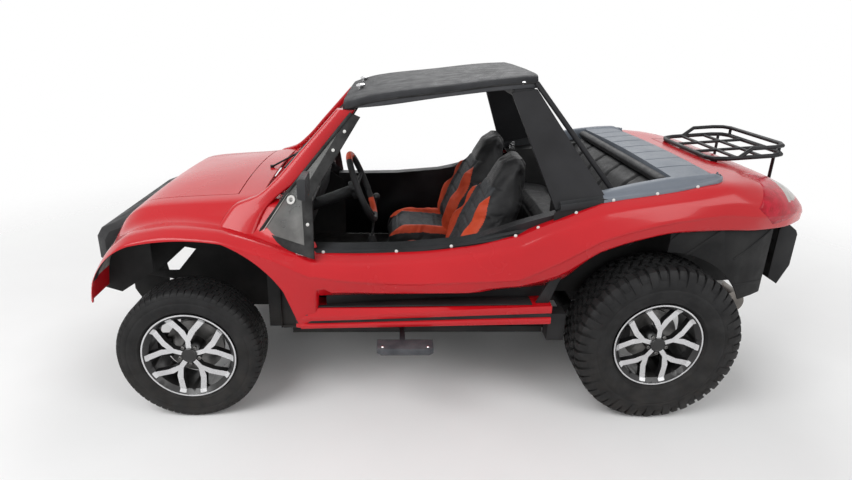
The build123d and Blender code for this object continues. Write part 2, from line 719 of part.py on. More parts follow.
def prong(middle, twin):
    """Outline of one half of a Y spoke as (radius, angle) points; twin is -1 or 1."""
    knee = middle + twin * radians(KNEE_TURN)
    end = middle + twin * radians(FORK_TURN)
    end_r = RIM_BEAD_R - 5
    centre_line = [
        (CAP_R - 5, middle, STEM_HALF),
        (FORK_R, middle, STEM_HALF),
        (KNEE_R, knee, PRONG_HALF),
        (end_r, end, PRONG_HALF),
    ]
    one = [(r, angle - half / r) for r, angle, half in centre_line]
    other = [(r, angle + half / r) for r, angle, half in centre_line]
    return one + other[::-1]


def rim(side, half, centre):
    """Alloy wheel with its hub and brake disc; side is -1 on the left."""
    x, y, z = centre
    barrel = [
        (side * half, RIM_LIP_R),
        (side * half, RIM_LIP_R - 10),
        (side * (half - OUTER_WELL), RIM_BEAD_R - BARREL_T),
        (-side * (half - INNER_WELL), RIM_BEAD_R - BARREL_T),
        (-side * half, RIM_LIP_R - 10),
        (-side * half, RIM_LIP_R),
        (-side * (half - FLANGE), RIM_LIP_R),
        (-side * (half - FLANGE), RIM_BEAD_R),
        (side * (half - FLANGE), RIM_BEAD_R),
        (side * (half - FLANGE), RIM_LIP_R),
    ]
    face_y = y + side * (half - FLANGE)
    cap_y = face_y + side * CAP_OUT
    disc_y = y - side * DISC_IN
    shapes = [
        turned(barrel, centre),
        rod((x, y - side * HUB_IN, z), (x, face_y - side * CAP_OUT, z), HUB_R),
        rod((x, face_y - side * SPOKE_T, z), (x, cap_y, z), CAP_R),
        rod((x, disc_y - DISC_T / 2, z), (x, disc_y + DISC_T / 2, z), DISC_R),
    ]
    for number in range(SPOKES):
        middle = radians(90 + number * 360 / SPOKES)
        for twin in (-1, 1):
            outline = [(x + r * cos(a), z + r * sin(a)) for r, a in prong(middle, twin)]
            shapes.append(slab(outline, face_y - side * SPOKE_T, face_y))
    bore_near, bore_far = sorted((y - side * 60, y + side * 20))
    return joined(shapes) - rod((x, bore_near, z), (x, bore_far, z), STUB_R + BEARING_GAP)


# columns: name, side, axle x, wheel y, tyre radius, tyre width, rim half width, lugs
WHEELS = [
    ("front_left", -1, FRONT_AXLE_X, FRONT_WHEEL_Y, FRONT_TYRE_R, FRONT_TYRE_W, FRONT_RIM_HALF, False),
    ("front_right", 1, FRONT_AXLE_X, FRONT_WHEEL_Y, FRONT_TYRE_R, FRONT_TYRE_W, FRONT_RIM_HALF, False),
    ("rear_left", -1, REAR_AXLE_X, REAR_WHEEL_Y, REAR_TYRE_R, REAR_TYRE_W, REAR_RIM_HALF, True),
    ("rear_right", 1, REAR_AXLE_X, REAR_WHEEL_Y, REAR_TYRE_R, REAR_TYRE_W, REAR_RIM_HALF, True),
]
for name, side, axle_x, wheel_y, radius, width, rim_half, lugged in WHEELS:
    centre = (axle_x, side * wheel_y, radius)
    write(f"tyre_{name}", tyre(radius, width, rim_half, centre, lugged))
    write(f"rim_{name}", rim(side, rim_half, centre))

# Black liners inside the front wings, with a daylight hole, (x from the front axle, z)
LINER_TOP_Z = 790
daylight = [(-220, 580), (-90, 700), (-40, 690), (-130, 580)]
liner_wall = slab(
    [
        (LINER_FRONT_X, 560),
        (LINER_FRONT_X + 40, 790),
        (FRONT_AXLE_X - 150, 850),
        (LINER_REAR_X, 850),
        (LINER_REAR_X, FLOOR_Z),
        (FRONT_AXLE_X - 60, FLOOR_Z),
        (HEAD_FRONT_X, 520),
    ],
    -LINER_IN_Y - PANEL,
    -LINER_IN_Y,
)
liner_wall = liner_wall - slab([(FRONT_AXLE_X + x, z) for x, z in daylight], -LINER_IN_Y - PANEL, -LINER_IN_Y)
liner_back = box(LINER_REAR_X, LINER_REAR_X + PANEL, -LINER_Y + 2, -LINER_IN_Y, FLOOR_Z, LINER_TOP_Z)
inner_fender = liner_wall + liner_back
write("inner_fenders", inner_fender, across(inner_fender))

# Roof: an upright flange all round under a crowned top, open below.
# columns: share of its length, half width, low z, flange top z, crown z
ROOF = [
    (0.0, -23, 1378, 1400, 1410),
    (0.157, -15, 1390, 1438, 1452),
    (0.54, 8, 1437, 1483, 1500),
    (0.86, 28, 1470, 1519, 1532),
    (1.0, 40, 1478, 1528, 1538),
]
ROOF_FLANGE = 14
ROOF_TOP_T = 10
PILLAR_TOP_INSET = 110
HEADER_HALF = PILLAR_BASE_HALF - PILLAR_TOP_INSET
HEADER_X = FRONT_AXLE_X + 690
ROOF_FRONT_X = HEADER_X - 10
ROOF_REAR_X = SIDE_REAR_X - 78


def roof_rows(flange, top):
    """Outlines across the roof, moved inwards by the flange and down by the top thickness."""
    front_x, rear_x = ROOF_FRONT_X + flange, ROOF_REAR_X - flange
    rows = []
    for share, inset, low, edge, crown in ROOF:
        half = HEADER_HALF - inset - flange
        bend = half - 45
        left = [(-half, low - top), (-half, edge - 8 - top), (-half + 8, edge - top), (-bend, edge + 4 - top)]
        right = [(-y, z) for y, z in left[::-1]]
        rows.append((front_x + share * (rear_x - front_x), left + [(0, crown - top)] + right))
    return rows


roof = skin(roof_rows(0, 0)) - skin(roof_rows(ROOF_FLANGE, ROOF_TOP_T))
write("roof", roof)
roof_low_line = [(ROOF_FRONT_X + row[0] * (ROOF_REAR_X - ROOF_FRONT_X), row[2]) for row in ROOF]

# Windscreen frame: two leaning pillars that flow out of the wings, a cowl and a header rail.
# columns: front and rear x from the front axle, z, inset of the outer face, width
PILLARS = [
    (130, 312, 862, -85, 120),
    (190, 345, 950, -30, 80),
    (215, 365, 975, -12, 62),
    (300, 395, 1005, 4, 56),
    (375, 475, 1065, 22, 55),
    (493, 587, 1196, 62, 55),
    (650, 733, 1372, PILLAR_TOP_INSET, 55),
]
HEADER_H = 40
HEADER_Z = PILLARS[-1][2]
COWL_TOP = 992
COWL_LOW = 880


def level(x0, x1, y0, y1, z):
    """Flat outline at height z."""
    corners = [(x0, y0), (x1, y0), (x1, y1), (x0, y1)]
    return Wire.make_polygon([Vector(x, y, z) for x, y in corners], close=True)


pillar_wires = []
for front, rear, z, inset, pillar_w in PILLARS:
    out = PILLAR_BASE_HALF - inset
    pillar_wires.append(level(FRONT_AXLE_X + front, FRONT_AXLE_X + rear, -out, -out + pillar_w, z))
pillar = Solid.make_loft(pillar_wires, ruled=True) - nose_outer
header = slab(
    [
        (HEADER_X - 40, HEADER_Z - HEADER_H),
        (HEADER_X + 10, HEADER_Z - HEADER_H),
        (HEADER_X + 43, along(roof_low_line, HEADER_X + 43) - SEAT_GAP),
        (HEADER_X - 2, along(roof_low_line, HEADER_X - 2) - SEAT_GAP),
    ],
    -HEADER_HALF + 10,
    HEADER_HALF - 10,
)
cowl = slab(
    [
        (COWL_X + SEAT_GAP, COWL_LOW),
        (COWL_X + SEAT_GAP, COWL_TOP),
        (COWL_X + COWL_DEPTH - 1, COWL_TOP),
        (COWL_X + COWL_DEPTH - 30, COWL_LOW),
    ],
    -COWL_HALF + SEAT_GAP,
    COWL_HALF - SEAT_GAP,
)
windscreen_frame = joined([cowl, pillar, across(pillar), header])
write("windscreen_frame", windscreen_frame)

# Windscreen glass between the pillars, from the cowl to the header
middle_line = [(z, FRONT_AXLE_X + (front + rear) / 2) for front, rear, z, inset, pillar_w in PILLARS]
inner_line = [(z, PILLAR_BASE_HALF - inset - pillar_w) for front, rear, z, inset, pillar_w in PILLARS]
glass_wires = []
glass_levels = [COWL_TOP + SEAT_GAP] + [row[2] for row in PILLARS[3:6]] + [HEADER_Z - HEADER_H - SEAT_GAP]
for z in glass_levels:
    x = along(middle_line, z)
    half = along(inner_line, z) - SEAT_GAP
    glass_wires.append(level(x, x + GLASS, -half, half, z))
write("windscreen_glass", Solid.make_loft(glass_wires, ruled=True))

# Wiper in front of the cowl, its blade ahead of the glass
WIPER_X = COWL_X - 35
WIPER_Y = -60
WIPER_R = 5
spindle = post(WIPER_X, WIPER_Y, COWL_TOP - 10, 10, 42) - nose_outer
wiper_end = (COWL_X + 95, WIPER_Y + 60, COWL_TOP + 88)
wiper_arm = rod((WIPER_X, WIPER_Y, COWL_TOP + 24), wiper_end, WIPER_R)
blade_foot = (COWL_X + 45, WIPER_Y - 90, COWL_TOP + 40)
blade_head = (COWL_X + 145, WIPER_Y + 210, COWL_TOP + 136)
blade = rod(blade_foot, blade_head, WIPER_R)
write("wiper", joined([spindle, wiper_arm, blade]))

# Targa hoop: two flat leaning legs on the rims, a cross beam under the roof and a stay behind each leg
TARGA_T = 30
TARGA_TOP_HALF = HEADER_HALF - 20
# columns: half width, then (x from the side wall's rear end, z) of the front and of the rear corner
TARGA_ENDS = [
    (BODY_HALF - RIM_INSET, (3, 960), (228, 1015)),
    (TARGA_TOP_HALF, (-192, 1458), (-80, 1474)),
]
STAY_R = 12
leg_wires = []
for half, (front_x, front_z), (rear_x, rear_z) in TARGA_ENDS:
    corners = [
        Vector(SIDE_REAR_X + front_x, -half, front_z),
        Vector(SIDE_REAR_X + rear_x, -half, rear_z),
        Vector(SIDE_REAR_X + rear_x, -half + TARGA_T, rear_z),
        Vector(SIDE_REAR_X + front_x, -half + TARGA_T, front_z),
    ]
    leg_wires.append(Wire.make_polygon(corners, close=True))
TUB_SPACE_LOW = 900
space_rows = []
for x in tub_stations:
    top = shelf_z(x)
    corners = [(-BODY_HALF, top), (BODY_HALF, top), (BODY_HALF, TUB_SPACE_LOW), (-BODY_HALF, TUB_SPACE_LOW)]
    space_rows.append((x, corners))
tub_space = skin(space_rows)
leg = Solid.make_loft(leg_wires, ruled=True) - side_left - band_left - tub_space
cross_x = ROOF_REAR_X - 12
cross_beam = slab(
    [
        (cross_x - 90, along(roof_low_line, cross_x - 90) - 30),
        (cross_x - 90, along(roof_low_line, cross_x - 90) - SEAT_GAP),
        (cross_x, along(roof_low_line, cross_x) - SEAT_GAP),
        (cross_x, along(roof_low_line, cross_x) - 30),
    ],
    -TARGA_TOP_HALF + 10,
    TARGA_TOP_HALF - 10,
)
stay = rod((ROOF_REAR_X - 5, -HEADER_HALF + 36, 1500), (SIDE_REAR_X + 304, -LINER_Y + 8, 1005), STAY_R)
stay = stay - roof - tub_space - band_left
targa_hoop = joined([leg, across(leg), cross_beam]) - roof
write("targa_hoop", targa_hoop, stay - targa_hoop, across(stay - targa_hoop))

# Black cabin liner: the inner panels, and the padded trim on the rim
TRIM_T = 28
# columns: x from the rear axle, height of the pad over the rim
REAR_PAD = [(-504, 30), (-324, 40), (-157, 54), (13, 58), (207, 36)]
PAD_STEP = 17
LIP_H = 30
LINER_Z = FLOOR_Z + FLOOR + SEAT_GAP
liner_rows = []
for share, rim_z, *rest in SIDE:
    outline = [
        (-LINER_Y + SEAT_GAP, LINER_Z),
        (-LINER_Y + SEAT_GAP, rim_z + SEAT_GAP),
        (-(BODY_HALF - RIM_INSET), rim_z + SEAT_GAP),
        (-(BODY_HALF - RIM_INSET), rim_z + TRIM_T - 6),
        (-(BODY_HALF - RIM_INSET) + 8, rim_z + TRIM_T),
        (-LINER_Y + PANEL, rim_z + TRIM_T),
        (-LINER_Y + PANEL, LINER_Z),
    ]
    liner_rows.append((side_x(share), outline))
liner_end = box(SIDE_REAR_X - SEAT_GAP, SIDE_REAR_X + 10, -BODY_HALF, 0, 0, SKY_Z)
liner = skin(liner_rows) - liner_end - leg
trim_rows = []
for dx, pad in REAR_PAD:
    x = REAR_AXLE_X + dx
    rim_z = along(rim_line, x)
    edge = along(edge_line, x)
    outline = [
        (-edge, rim_z + SEAT_GAP),
        (-edge, rim_z + pad),
        (-edge - 75 + PAD_STEP + 8, rim_z + pad),
        (-edge - 75 + PAD_STEP, rim_z + pad - 8),
        (-edge - 75 + PAD_STEP, rim_z + LIP_H - 1),
        (-edge - 75, rim_z + LIP_H - 6),
        (-edge - 75, rim_z + SEAT_GAP),
    ]
    trim_rows.append((x, outline))
rear_trim = skin(trim_rows) - leg - stay
write("cabin_liner", liner, across(liner), rear_trim, across(rear_trim))

# Vinyl quarter windows behind the pillars, their hems on the body's slope.
# columns: x from the front axle, z, half width; the mirror's stalk passes through a hole
QUARTER = [(323, 835, BODY_HALF - 114), (553, 795, BODY_HALF + 5), (741, 1372, HEADER_HALF + 30)]
VINYL = 4
STALK_R = 6
STALK = [
    (FRONT_AXLE_X + 405, -PILLAR_BASE_HALF + 35, 1019),
    (FRONT_AXLE_X + 497, -PILLAR_BASE_HALF - 27, 1019),
    (FRONT_AXLE_X + 543, -BODY_HALF + 5, 1090),
]
quarter_wires = []
for dy in (0, VINYL):
    corners = [Vector(FRONT_AXLE_X + x, -half + dy, z) for x, z, half in QUARTER]
    quarter_wires.append(Wire.make_polygon(corners, close=True))
quarter = Solid.make_loft(quarter_wires, ruled=True)
for part in (nose_outer, windscreen_frame, side_left, liner, roof):
    quarter = quarter - part
for start, end in zip(STALK, STALK[1:]):
    quarter = quarter - rod(start, end, STALK_R + SEAT_GAP)
quarter = quarter - Solid.make_sphere(STALK_R + SEAT_GAP, Plane(STALK[1]))
write("quarter_windows", quarter, across(quarter))

# Door mirrors on bent stalks
MIRROR_W = 135
MIRROR_H = 85
mirror_x, mirror_y, mirror_z = STALK[2]
head_outline = [(-16, -35), (-16, 35), (-6, 42), (16, 42), (16, -42), (-6, -42)]
mirror_head = slab(
    [(mirror_x + x, mirror_z + 27 + z) for x, z in head_outline],
    mirror_y - MIRROR_W + 50,
    mirror_y + 50,
)
stalk = [rod(start, end, STALK_R) for start, end in zip(STALK, STALK[1:])]
mirror = joined([mirror_head, Solid.make_sphere(STALK_R, Plane(STALK[1]))] + stalk) - windscreen_frame
write("mirrors", mirror, across(mirror))

# Dash and steering column
DASH_HALF = BODY_HALF - 250
DASH_Z = 780
WHEEL_TILT = 21.3
WHEEL_X = FRONT_AXLE_X + 750
WHEEL_Z = 980
WHEEL_Y = -300
WHEEL_R = 165
COLUMN_R = 28
HUB_BACK = -56
dash = slab(
    [
        (PAN_FRONT_X, DASH_Z),
        (PAN_FRONT_X, 856),
        (COWL_X + 40, 862),
        (COWL_X + 50, 958),
        (COWL_X + 190, 968),
        (COWL_X + 215, 940),
        (COWL_X + 190, DASH_Z),
    ],
    -DASH_HALF,
    DASH_HALF,
)
axis_x = cos(radians(WHEEL_TILT))
axis_z = sin(radians(WHEEL_TILT))


def on_column(distance):
    """Point on the steering axis, measured from the wheel's middle."""
    return (WHEEL_X + distance * axis_x, WHEEL_Y, WHEEL_Z + distance * axis_z)


column = rod(on_column(-300), on_column(HUB_BACK - SEAT_GAP), COLUMN_R)
write("dash", dash - windscreen_frame - rod(on_column(-420), on_column(0), COLUMN_R + SEAT_GAP))
write("steering_column", column)

# Steering wheel: ring, three spokes and boss
RING_R = 15
BOSS_WHEEL_R = 45
SPOKE_R = 11
SPOKE_ANGLES = (12, 168, 270)
ring_plane = Plane(origin=on_column(0), z_dir=(axis_x, 0, axis_z), x_dir=(0, 1, 0))
ring = Solid.make_torus(WHEEL_R, RING_R, ring_plane)
wheel_parts = [ring, rod(on_column(HUB_BACK), on_column(-20), BOSS_WHEEL_R)]
for angle in SPOKE_ANGLES:
    on_ring = Vector(WHEEL_R * cos(radians(angle)), WHEEL_R * sin(radians(angle)), 0)
    wheel_parts.append(rod(on_column(-40), tuple(ring_plane.from_local_coords(on_ring)), SPOKE_R))
write("steering_wheel", joined(wheel_parts))

# Gear lever on the tunnel
GEAR_X = FRONT_AXLE_X + 785
KNOB_Z = TUNNEL_Z + 300
lever = rod((GEAR_X, 0, TUNNEL_Z + 60), (GEAR_X + 25, 0, KNOB_Z), 7)
boot = Solid.make_cone(45, 15, 80, Plane((GEAR_X, 0, TUNNEL_Z + SEAT_GAP)))
knob = Solid.make_sphere(20, Plane((GEAR_X + 25, 0, KNOB_Z)))
write("gear_lever", joined([boot, lever, knob]))

# Bucket seats: cushion and tall back with a headrest, and bolsters on both.
# Outlines are (x from the seat's hip, z).
SEAT_Y = 300
SEAT_HALF = 235
SEAT_X = PAN_REAR_X - 420
SEAT_SIDE = 42
SEAT_CUSHION = [(-345, 470), (-345, 592), (-325, 606), (-285, 612), (20, 590), (110, 470)]
SEAT_BACK = [
    (0, 590),
    (60, 740),
    (200, 1060),
    (245, 1160),
    (300, 1165),
    (335, 1120),
    (322, 960),
    (250, 760),
    (110, 470),
    (20, 560),
]
BACK_BOLSTER = [(-5, 620), (25, 740), (110, 940), (165, 1000), (260, 960), (230, 780), (90, 560)]
CUSHION_BOLSTER = [(-325, 552), (-320, 628), (-290, 640), (-20, 640), (20, 600), (60, 556)]


def seat(side):
    """Bucket seat on the left (-1) or right (1)."""
    y = side * SEAT_Y
    body_half = SEAT_HALF - SEAT_SIDE
    legs = box(SEAT_X - 285, SEAT_X + 60, y - 160, y + 160, FLOOR_Z + FLOOR + SEAT_GAP, 471)
    shapes = [legs]
    for points in (SEAT_CUSHION, SEAT_BACK):
        shapes.append(slab([(SEAT_X + x, z) for x, z in points], y - body_half, y + body_half))
    for points in (BACK_BOLSTER, CUSHION_BOLSTER):
        outline = [(SEAT_X + x, z) for x, z in points]
        shapes.append(slab(outline, y - SEAT_HALF, y - body_half + 12))
        shapes.append(slab(outline, y + body_half - 12, y + SEAT_HALF))
    return joined(shapes)


write("seats", seat(-1), seat(1))

# Rear bench and its backrest, with a roll along its top
BENCH_HALF = TUB_HALF - PANEL - SEAT_GAP
BENCH_FRONT_X = TUB_FRONT_X + 4
BENCH_REAR_X = BENCH_FRONT_X + 266
BENCH_Z = KICK_Z + SEAT_GAP
ROLL_D = 60
BACK_TOP_X = BULKHEAD_X - PANEL - SEAT_GAP
BACK_TOP_Z = 1084
bench = slab(
    [
        (BENCH_FRONT_X, BENCH_Z),
        (BENCH_FRONT_X, 762),
        (BENCH_FRONT_X + 18, 780),
        (BENCH_REAR_X, 800),
        (BENCH_REAR_X, BENCH_Z),
    ],
    -BENCH_HALF,
    BENCH_HALF,
)
roll_half = along(edge_line, BACK_TOP_X) - SEAT_GAP
roll_low = shelf_z(BACK_TOP_X) + SEAT_GAP
backrest = slab(
    [
        (BENCH_REAR_X + 10, 770),
        (BACK_TOP_X - ROLL_D, roll_low - 20),
        (BACK_TOP_X - ROLL_D, roll_low + 1),
        (BACK_TOP_X, roll_low + 1),
        (BACK_TOP_X, 1010),
        (BENCH_REAR_X + 110, 770),
    ],
    -BENCH_HALF,
    BENCH_HALF,
)
roll = slab(
    [
        (BACK_TOP_X - ROLL_D, roll_low),
        (BACK_TOP_X - ROLL_D + 2, BACK_TOP_Z - 8),
        (BACK_TOP_X - 35, BACK_TOP_Z),
        (BACK_TOP_X, BACK_TOP_Z - 6),
        (BACK_TOP_X, roll_low),
    ],
    -roll_half,
    roll_half,
)
write("rear_bench", bench, backrest + roll)

# Ribbed rear deck on the tub's shelf
DECK_FRONT_X = BACK_TOP_X + SEAT_GAP
DECK_RISE = 35
DECK_GROOVES = 7
GROOVE_PITCH = 150
GROOVE_W = 10
GROOVE_D = 5
deck_rows = []
for x in (DECK_FRONT_X, TUB_REAR_X):
    half = along(edge_line, x) - SEAT_GAP
    low, top = shelf_z(x) + SEAT_GAP, along(rim_line, x) + DECK_RISE
    deck_rows.append((x, [(-half, low), (half, low), (half, top), (-half, top)]))
deck = skin(deck_rows)
for number in range(DECK_GROOVES):
    y = (number - (DECK_GROOVES - 1) / 2) * GROOVE_PITCH
    groove = []
    for x in (DECK_FRONT_X, TUB_REAR_X):
        top = along(rim_line, x) + DECK_RISE
        near, far = y - GROOVE_W / 2, y + GROOVE_W / 2
        groove.append((x, [(near, top - GROOVE_D), (far, top - GROOVE_D), (far, top + 1), (near, top + 1)]))
    deck = deck - skin(groove)
write("rear_deck", deck)

# Luggage rack on the engine lid: a tube frame with a grid, and a raised rail round its rear
RACK_TUBE = 11
RACK_BAR = 8
RACK_HALF = 302
RACK_CORNER = 70
RACK_FRONT_X = TAIL_TIP_X - 357
RACK_REAR_X = TAIL_TIP_X + 17
RACK_FRONT_Z = 1141
RACK_REAR_Z = 1172
RAIL_FRONT_X = RACK_FRONT_X + 130
RAIL_Z = 1215
POST_REAR_X = RACK_REAR_X - 45
POST_HALF = 270
FOOT_R = 16


def rack_point(x, y, lift=0):
    """Point on the rack's plane, or lifted over it."""
    share = (x - RACK_FRONT_X) / (RACK_REAR_X - RACK_FRONT_X)
    return (x, y, RACK_FRONT_Z + share * (RACK_REAR_Z - RACK_FRONT_Z) + lift)


def bent_tube(points, radius):
    """Tube through the points, with a ball in each bend."""
    shapes = [rod(start, end, radius) for start, end in zip(points, points[1:])]
    return shapes + [Solid.make_sphere(radius, Plane(point)) for point in points[1:-1]]


# Left half of the frame's outline, (x, y)
front_in = RACK_HALF - RACK_CORNER
half_frame = [
    (RACK_FRONT_X, -front_in),
    (RACK_FRONT_X + 20, -RACK_HALF + 20),
    (RACK_FRONT_X + RACK_CORNER, -RACK_HALF),
    (RACK_REAR_X - RACK_CORNER, -RACK_HALF),
    (RACK_REAR_X - 20, -RACK_HALF + 20),
    (RACK_REAR_X, -front_in),
]
loop = [rack_point(x, y) for x, y in half_frame] + [rack_point(x, -y) for x, y in half_frame[::-1]]
rack_parts = bent_tube(loop, RACK_TUBE) + [rod(loop[-1], loop[0], RACK_TUBE)]
rack_parts = rack_parts + [Solid.make_sphere(RACK_TUBE, Plane(point)) for point in (loop[0], loop[-1])]
for y in (-RACK_HALF / 3, RACK_HALF / 3):
    rack_parts.append(rod(rack_point(RACK_FRONT_X, y), rack_point(RACK_REAR_X, y), RACK_BAR))
for share in (1 / 3, 2 / 3):
    x = RACK_FRONT_X + share * (RACK_REAR_X - RACK_FRONT_X)
    rack_parts.append(rod(rack_point(x, -RACK_HALF), rack_point(x, RACK_HALF), RACK_BAR))
rail_lift = RAIL_Z - RACK_REAR_Z
rail_half = [rack_point(RAIL_FRONT_X, -RACK_HALF), rack_point(RAIL_FRONT_X + 60, -RACK_HALF, rail_lift)]
rail_half = rail_half + [rack_point(x, y, rail_lift) for x, y in half_frame[3:]]
raised_rail = rail_half + [(x, -y, z) for x, y, z in rail_half[::-1]]
rack_parts = rack_parts + bent_tube(raised_rail, RACK_TUBE - 1)
for side in (-1, 1):
    riser = (RACK_REAR_X, side * front_in)
    rack_parts.append(rod(rack_point(*riser), rack_point(*riser, rail_lift), RACK_BAR))
    foot = (RACK_FRONT_X + 25, side * POST_HALF)
    rack_parts.append(rod(rack_point(*foot, -60), rack_point(*foot, 4), FOOT_R))
    post_top = rack_point(POST_REAR_X, side * POST_HALF)
    rack_parts.append(rod((POST_REAR_X, side * POST_HALF, 1000), post_top, RACK_BAR))
    rack_parts.append(rod(post_top, rack_point(POST_REAR_X, side * RACK_HALF), RACK_BAR))
write("luggage_rack", joined(rack_parts) - tail_outer - engine_lid)

# Bumpers: bent plates that stand off the nose and the tail.
# Outlines are (x from the face, z); rows of the bends are (y, x back from the face).
FRONT_STANDOFF = 98
FRONT_PLATE = [
    (0, 660),
    (0, 768),
    (25, 808),
    (110, 842),
    (FRONT_STANDOFF + 72, 868),
    (FRONT_STANDOFF + 74, 860),
    (112, 832),
    (34, 800),
    (10, 764),
    (10, 660),
]
FRONT_BENDS = [(-500, 60), (-440, 0), (440, 0), (500, 60)]
FRONT_WING = [(60, 660), (60, 768), (85, 808), (170, 842), (230, 866), (250, 820), (205, 700), (150, 660)]
WING_T = 8
front_face_x = NOSE_TIP_X - FRONT_STANDOFF
plate_wires = []
for y, back in FRONT_BENDS:
    corners = [Vector(front_face_x + x + back, y, z) for x, z in FRONT_PLATE]
    plate_wires.append(Wire.make_polygon(corners, close=True))
wing = slab([(front_face_x + x, z) for x, z in FRONT_WING], FRONT_BENDS[0][0], FRONT_BENDS[0][0] + WING_T)
front_bumper = joined([Solid.make_loft(plate_wires, ruled=True), wing, across(wing)])
write("front_bumper", front_bumper - nose_outer)
REAR_SETBACK = 20
REAR_HALF = 560
REAR_PLATE = [
    (0, 690),
    (0, 846),
    (-10, 866),
    (-59, 901),
    (-63, 894),
    (-17, 861),
    (-8, 843),
    (-8, 692),
    (-49, 597),
    (-43, 591),
]
REAR_WING = [(-43, 591), (0, 690), (0, 846), (-10, 866), (-59, 901), (-92, 870), (-92, 626)]
PLATE_SPAN_Y = 200
PLATE_SPAN_Z = 80
PLATE_Z = 765
PLATE_HOLE_R = 3.5
BRACKET_Y = 300
BRACKET_W = 30
rear_face_x = TAIL_TIP_X - REAR_SETBACK
rear_bumper = slab([(rear_face_x + x, z) for x, z in REAR_PLATE], -REAR_HALF, REAR_HALF)
wing = slab([(rear_face_x + x, z) for x, z in REAR_WING], -REAR_HALF, -REAR_HALF + WING_T)
rear_bumper = joined([rear_bumper, wing, across(wing)])
for y in (-PLATE_SPAN_Y / 2, PLATE_SPAN_Y / 2):
    for z in (PLATE_Z - PLATE_SPAN_Z / 2, PLATE_Z + PLATE_SPAN_Z / 2):
        rear_bumper = rear_bumper - rod((rear_face_x - 40, y, z), (rear_face_x + 10, y, z), PLATE_HOLE_R)
for y in (-BRACKET_Y, BRACKET_Y):
    bracket = [
        (rear_face_x - 30, 872),
        (rear_face_x - 8, 855),
        (TAIL_TIP_X - 5, 905),
        (TAIL_TIP_X - 5, 935),
        (TAIL_TIP_X - 25, 935),
    ]
    rear_bumper = rear_bumper + slab(bracket, y - BRACKET_W / 2, y + BRACKET_W / 2)
write("rear_bumper", rear_bumper - tail_outer)

# Black ribbed mouldings behind the rear wheels, inside the lips of the bands and the tail.
# The rows of the band and the tail go on down to the low line, (x from the rear axle, z).
QUARTER_T = 8
RIB_OUT = 4
RIB_HALF = 6
LIP_IN = LOW_INSET + 2 * SHELL + SEAT_GAP
QUARTER_LOW = [(-324, 560), (320, 560), (510, 592)]
# columns: the two ends of a rib as x from the rear axle and z
QUARTER_RIBS = [
    (494, 901, 317, 776),
    (235, 921, 67, 783),
    (45, 906, -77, 783),
    (-165, 861, -250, 755),
    (300, 650, 500, 650),
]
QUARTER_END_X = 510
tail_low = [(dx, BODY_HALF - pairs[-1][0] - SHELL - 2, pairs[-1][1] + 8) for dx, top, *pairs in TAIL]
end_share = (QUARTER_END_X - TAIL[2][0]) / (TAIL[3][0] - TAIL[2][0])
end_row = [low + end_share * (high - low) for low, high in zip(tail_low[2], tail_low[3])]
band_low = [(row[0], BODY_HALF - row[5] - LIP_IN, row[4] + 15) for row in BAND[1:4]]
QUARTERS = band_low + tail_low[:3] + [end_row]


def quarter_rows(grow):
    """Outlines across the moulding, its outer face moved out by grow."""
    rows = []
    for dx, out, top in QUARTERS:
        bottom = along(QUARTER_LOW, dx)
        face, back = -out - grow, -out + QUARTER_T
        rows.append((REAR_AXLE_X + dx, [(face, bottom), (face, top), (back, top), (back, bottom)]))
    return rows


arch_out = (REAR_AXLE_X, -BODY_HALF, REAR_TYRE_R)
arch_in = (REAR_AXLE_X, -LINER_Y + 245, REAR_TYRE_R)
arch_tool = rod(arch_out, arch_in, REAR_TYRE_R + ARCH_GAP)
moulding = skin(quarter_rows(0))
ribbed = skin(quarter_rows(RIB_OUT))
for x0, z0, x1, z1 in QUARTER_RIBS:
    run = Vector(x1 - x0, 0, z1 - z0).normalized() * RIB_HALF
    outline = [
        (REAR_AXLE_X + x0 - run.Z, z0 + run.X),
        (REAR_AXLE_X + x1 - run.Z, z1 + run.X),
        (REAR_AXLE_X + x1 + run.Z, z1 - run.X),
        (REAR_AXLE_X + x0 + run.Z, z0 - run.X),
    ]
    moulding = moulding + (ribbed & slab(outline, -BODY_HALF, 0))
moulding = moulding - arch_tool - band_left - tail_shell
moulding = moulding & box(REAR_AXLE_X, TAIL_TIP_X, -BODY_HALF, 0, 0, SKY_Z)
write("rear_quarters", moulding, across(moulding))

# Side steps under the sills
STEP_X = SIDE_REAR_X - 773
STEP_L = 246
STEP_OUT = 80
step_pad = plan(
    [
        (STEP_X, -BODY_HALF + 8),
        (STEP_X, -BODY_HALF - STEP_OUT + 18),
        (STEP_X + 18, -BODY_HALF - STEP_OUT),
        (STEP_X + STEP_L - 18, -BODY_HALF - STEP_OUT),
        (STEP_X + STEP_L, -BODY_HALF - STEP_OUT + 18),
        (STEP_X + STEP_L, -BODY_HALF + 8),
    ],
    FLOOR_Z - 10,
    FLOOR_Z + 20,
)
step_arm = box(
    STEP_X + 100,
    STEP_X + 124,
    -BODY_HALF - 10,
    -RAIL_Y - RAIL_W - SEAT_GAP,
    FLOOR_Z - 25,
    FLOOR_Z - SEAT_GAP,
)
step = step_pad + step_arm
write("side_steps", step, across(step))

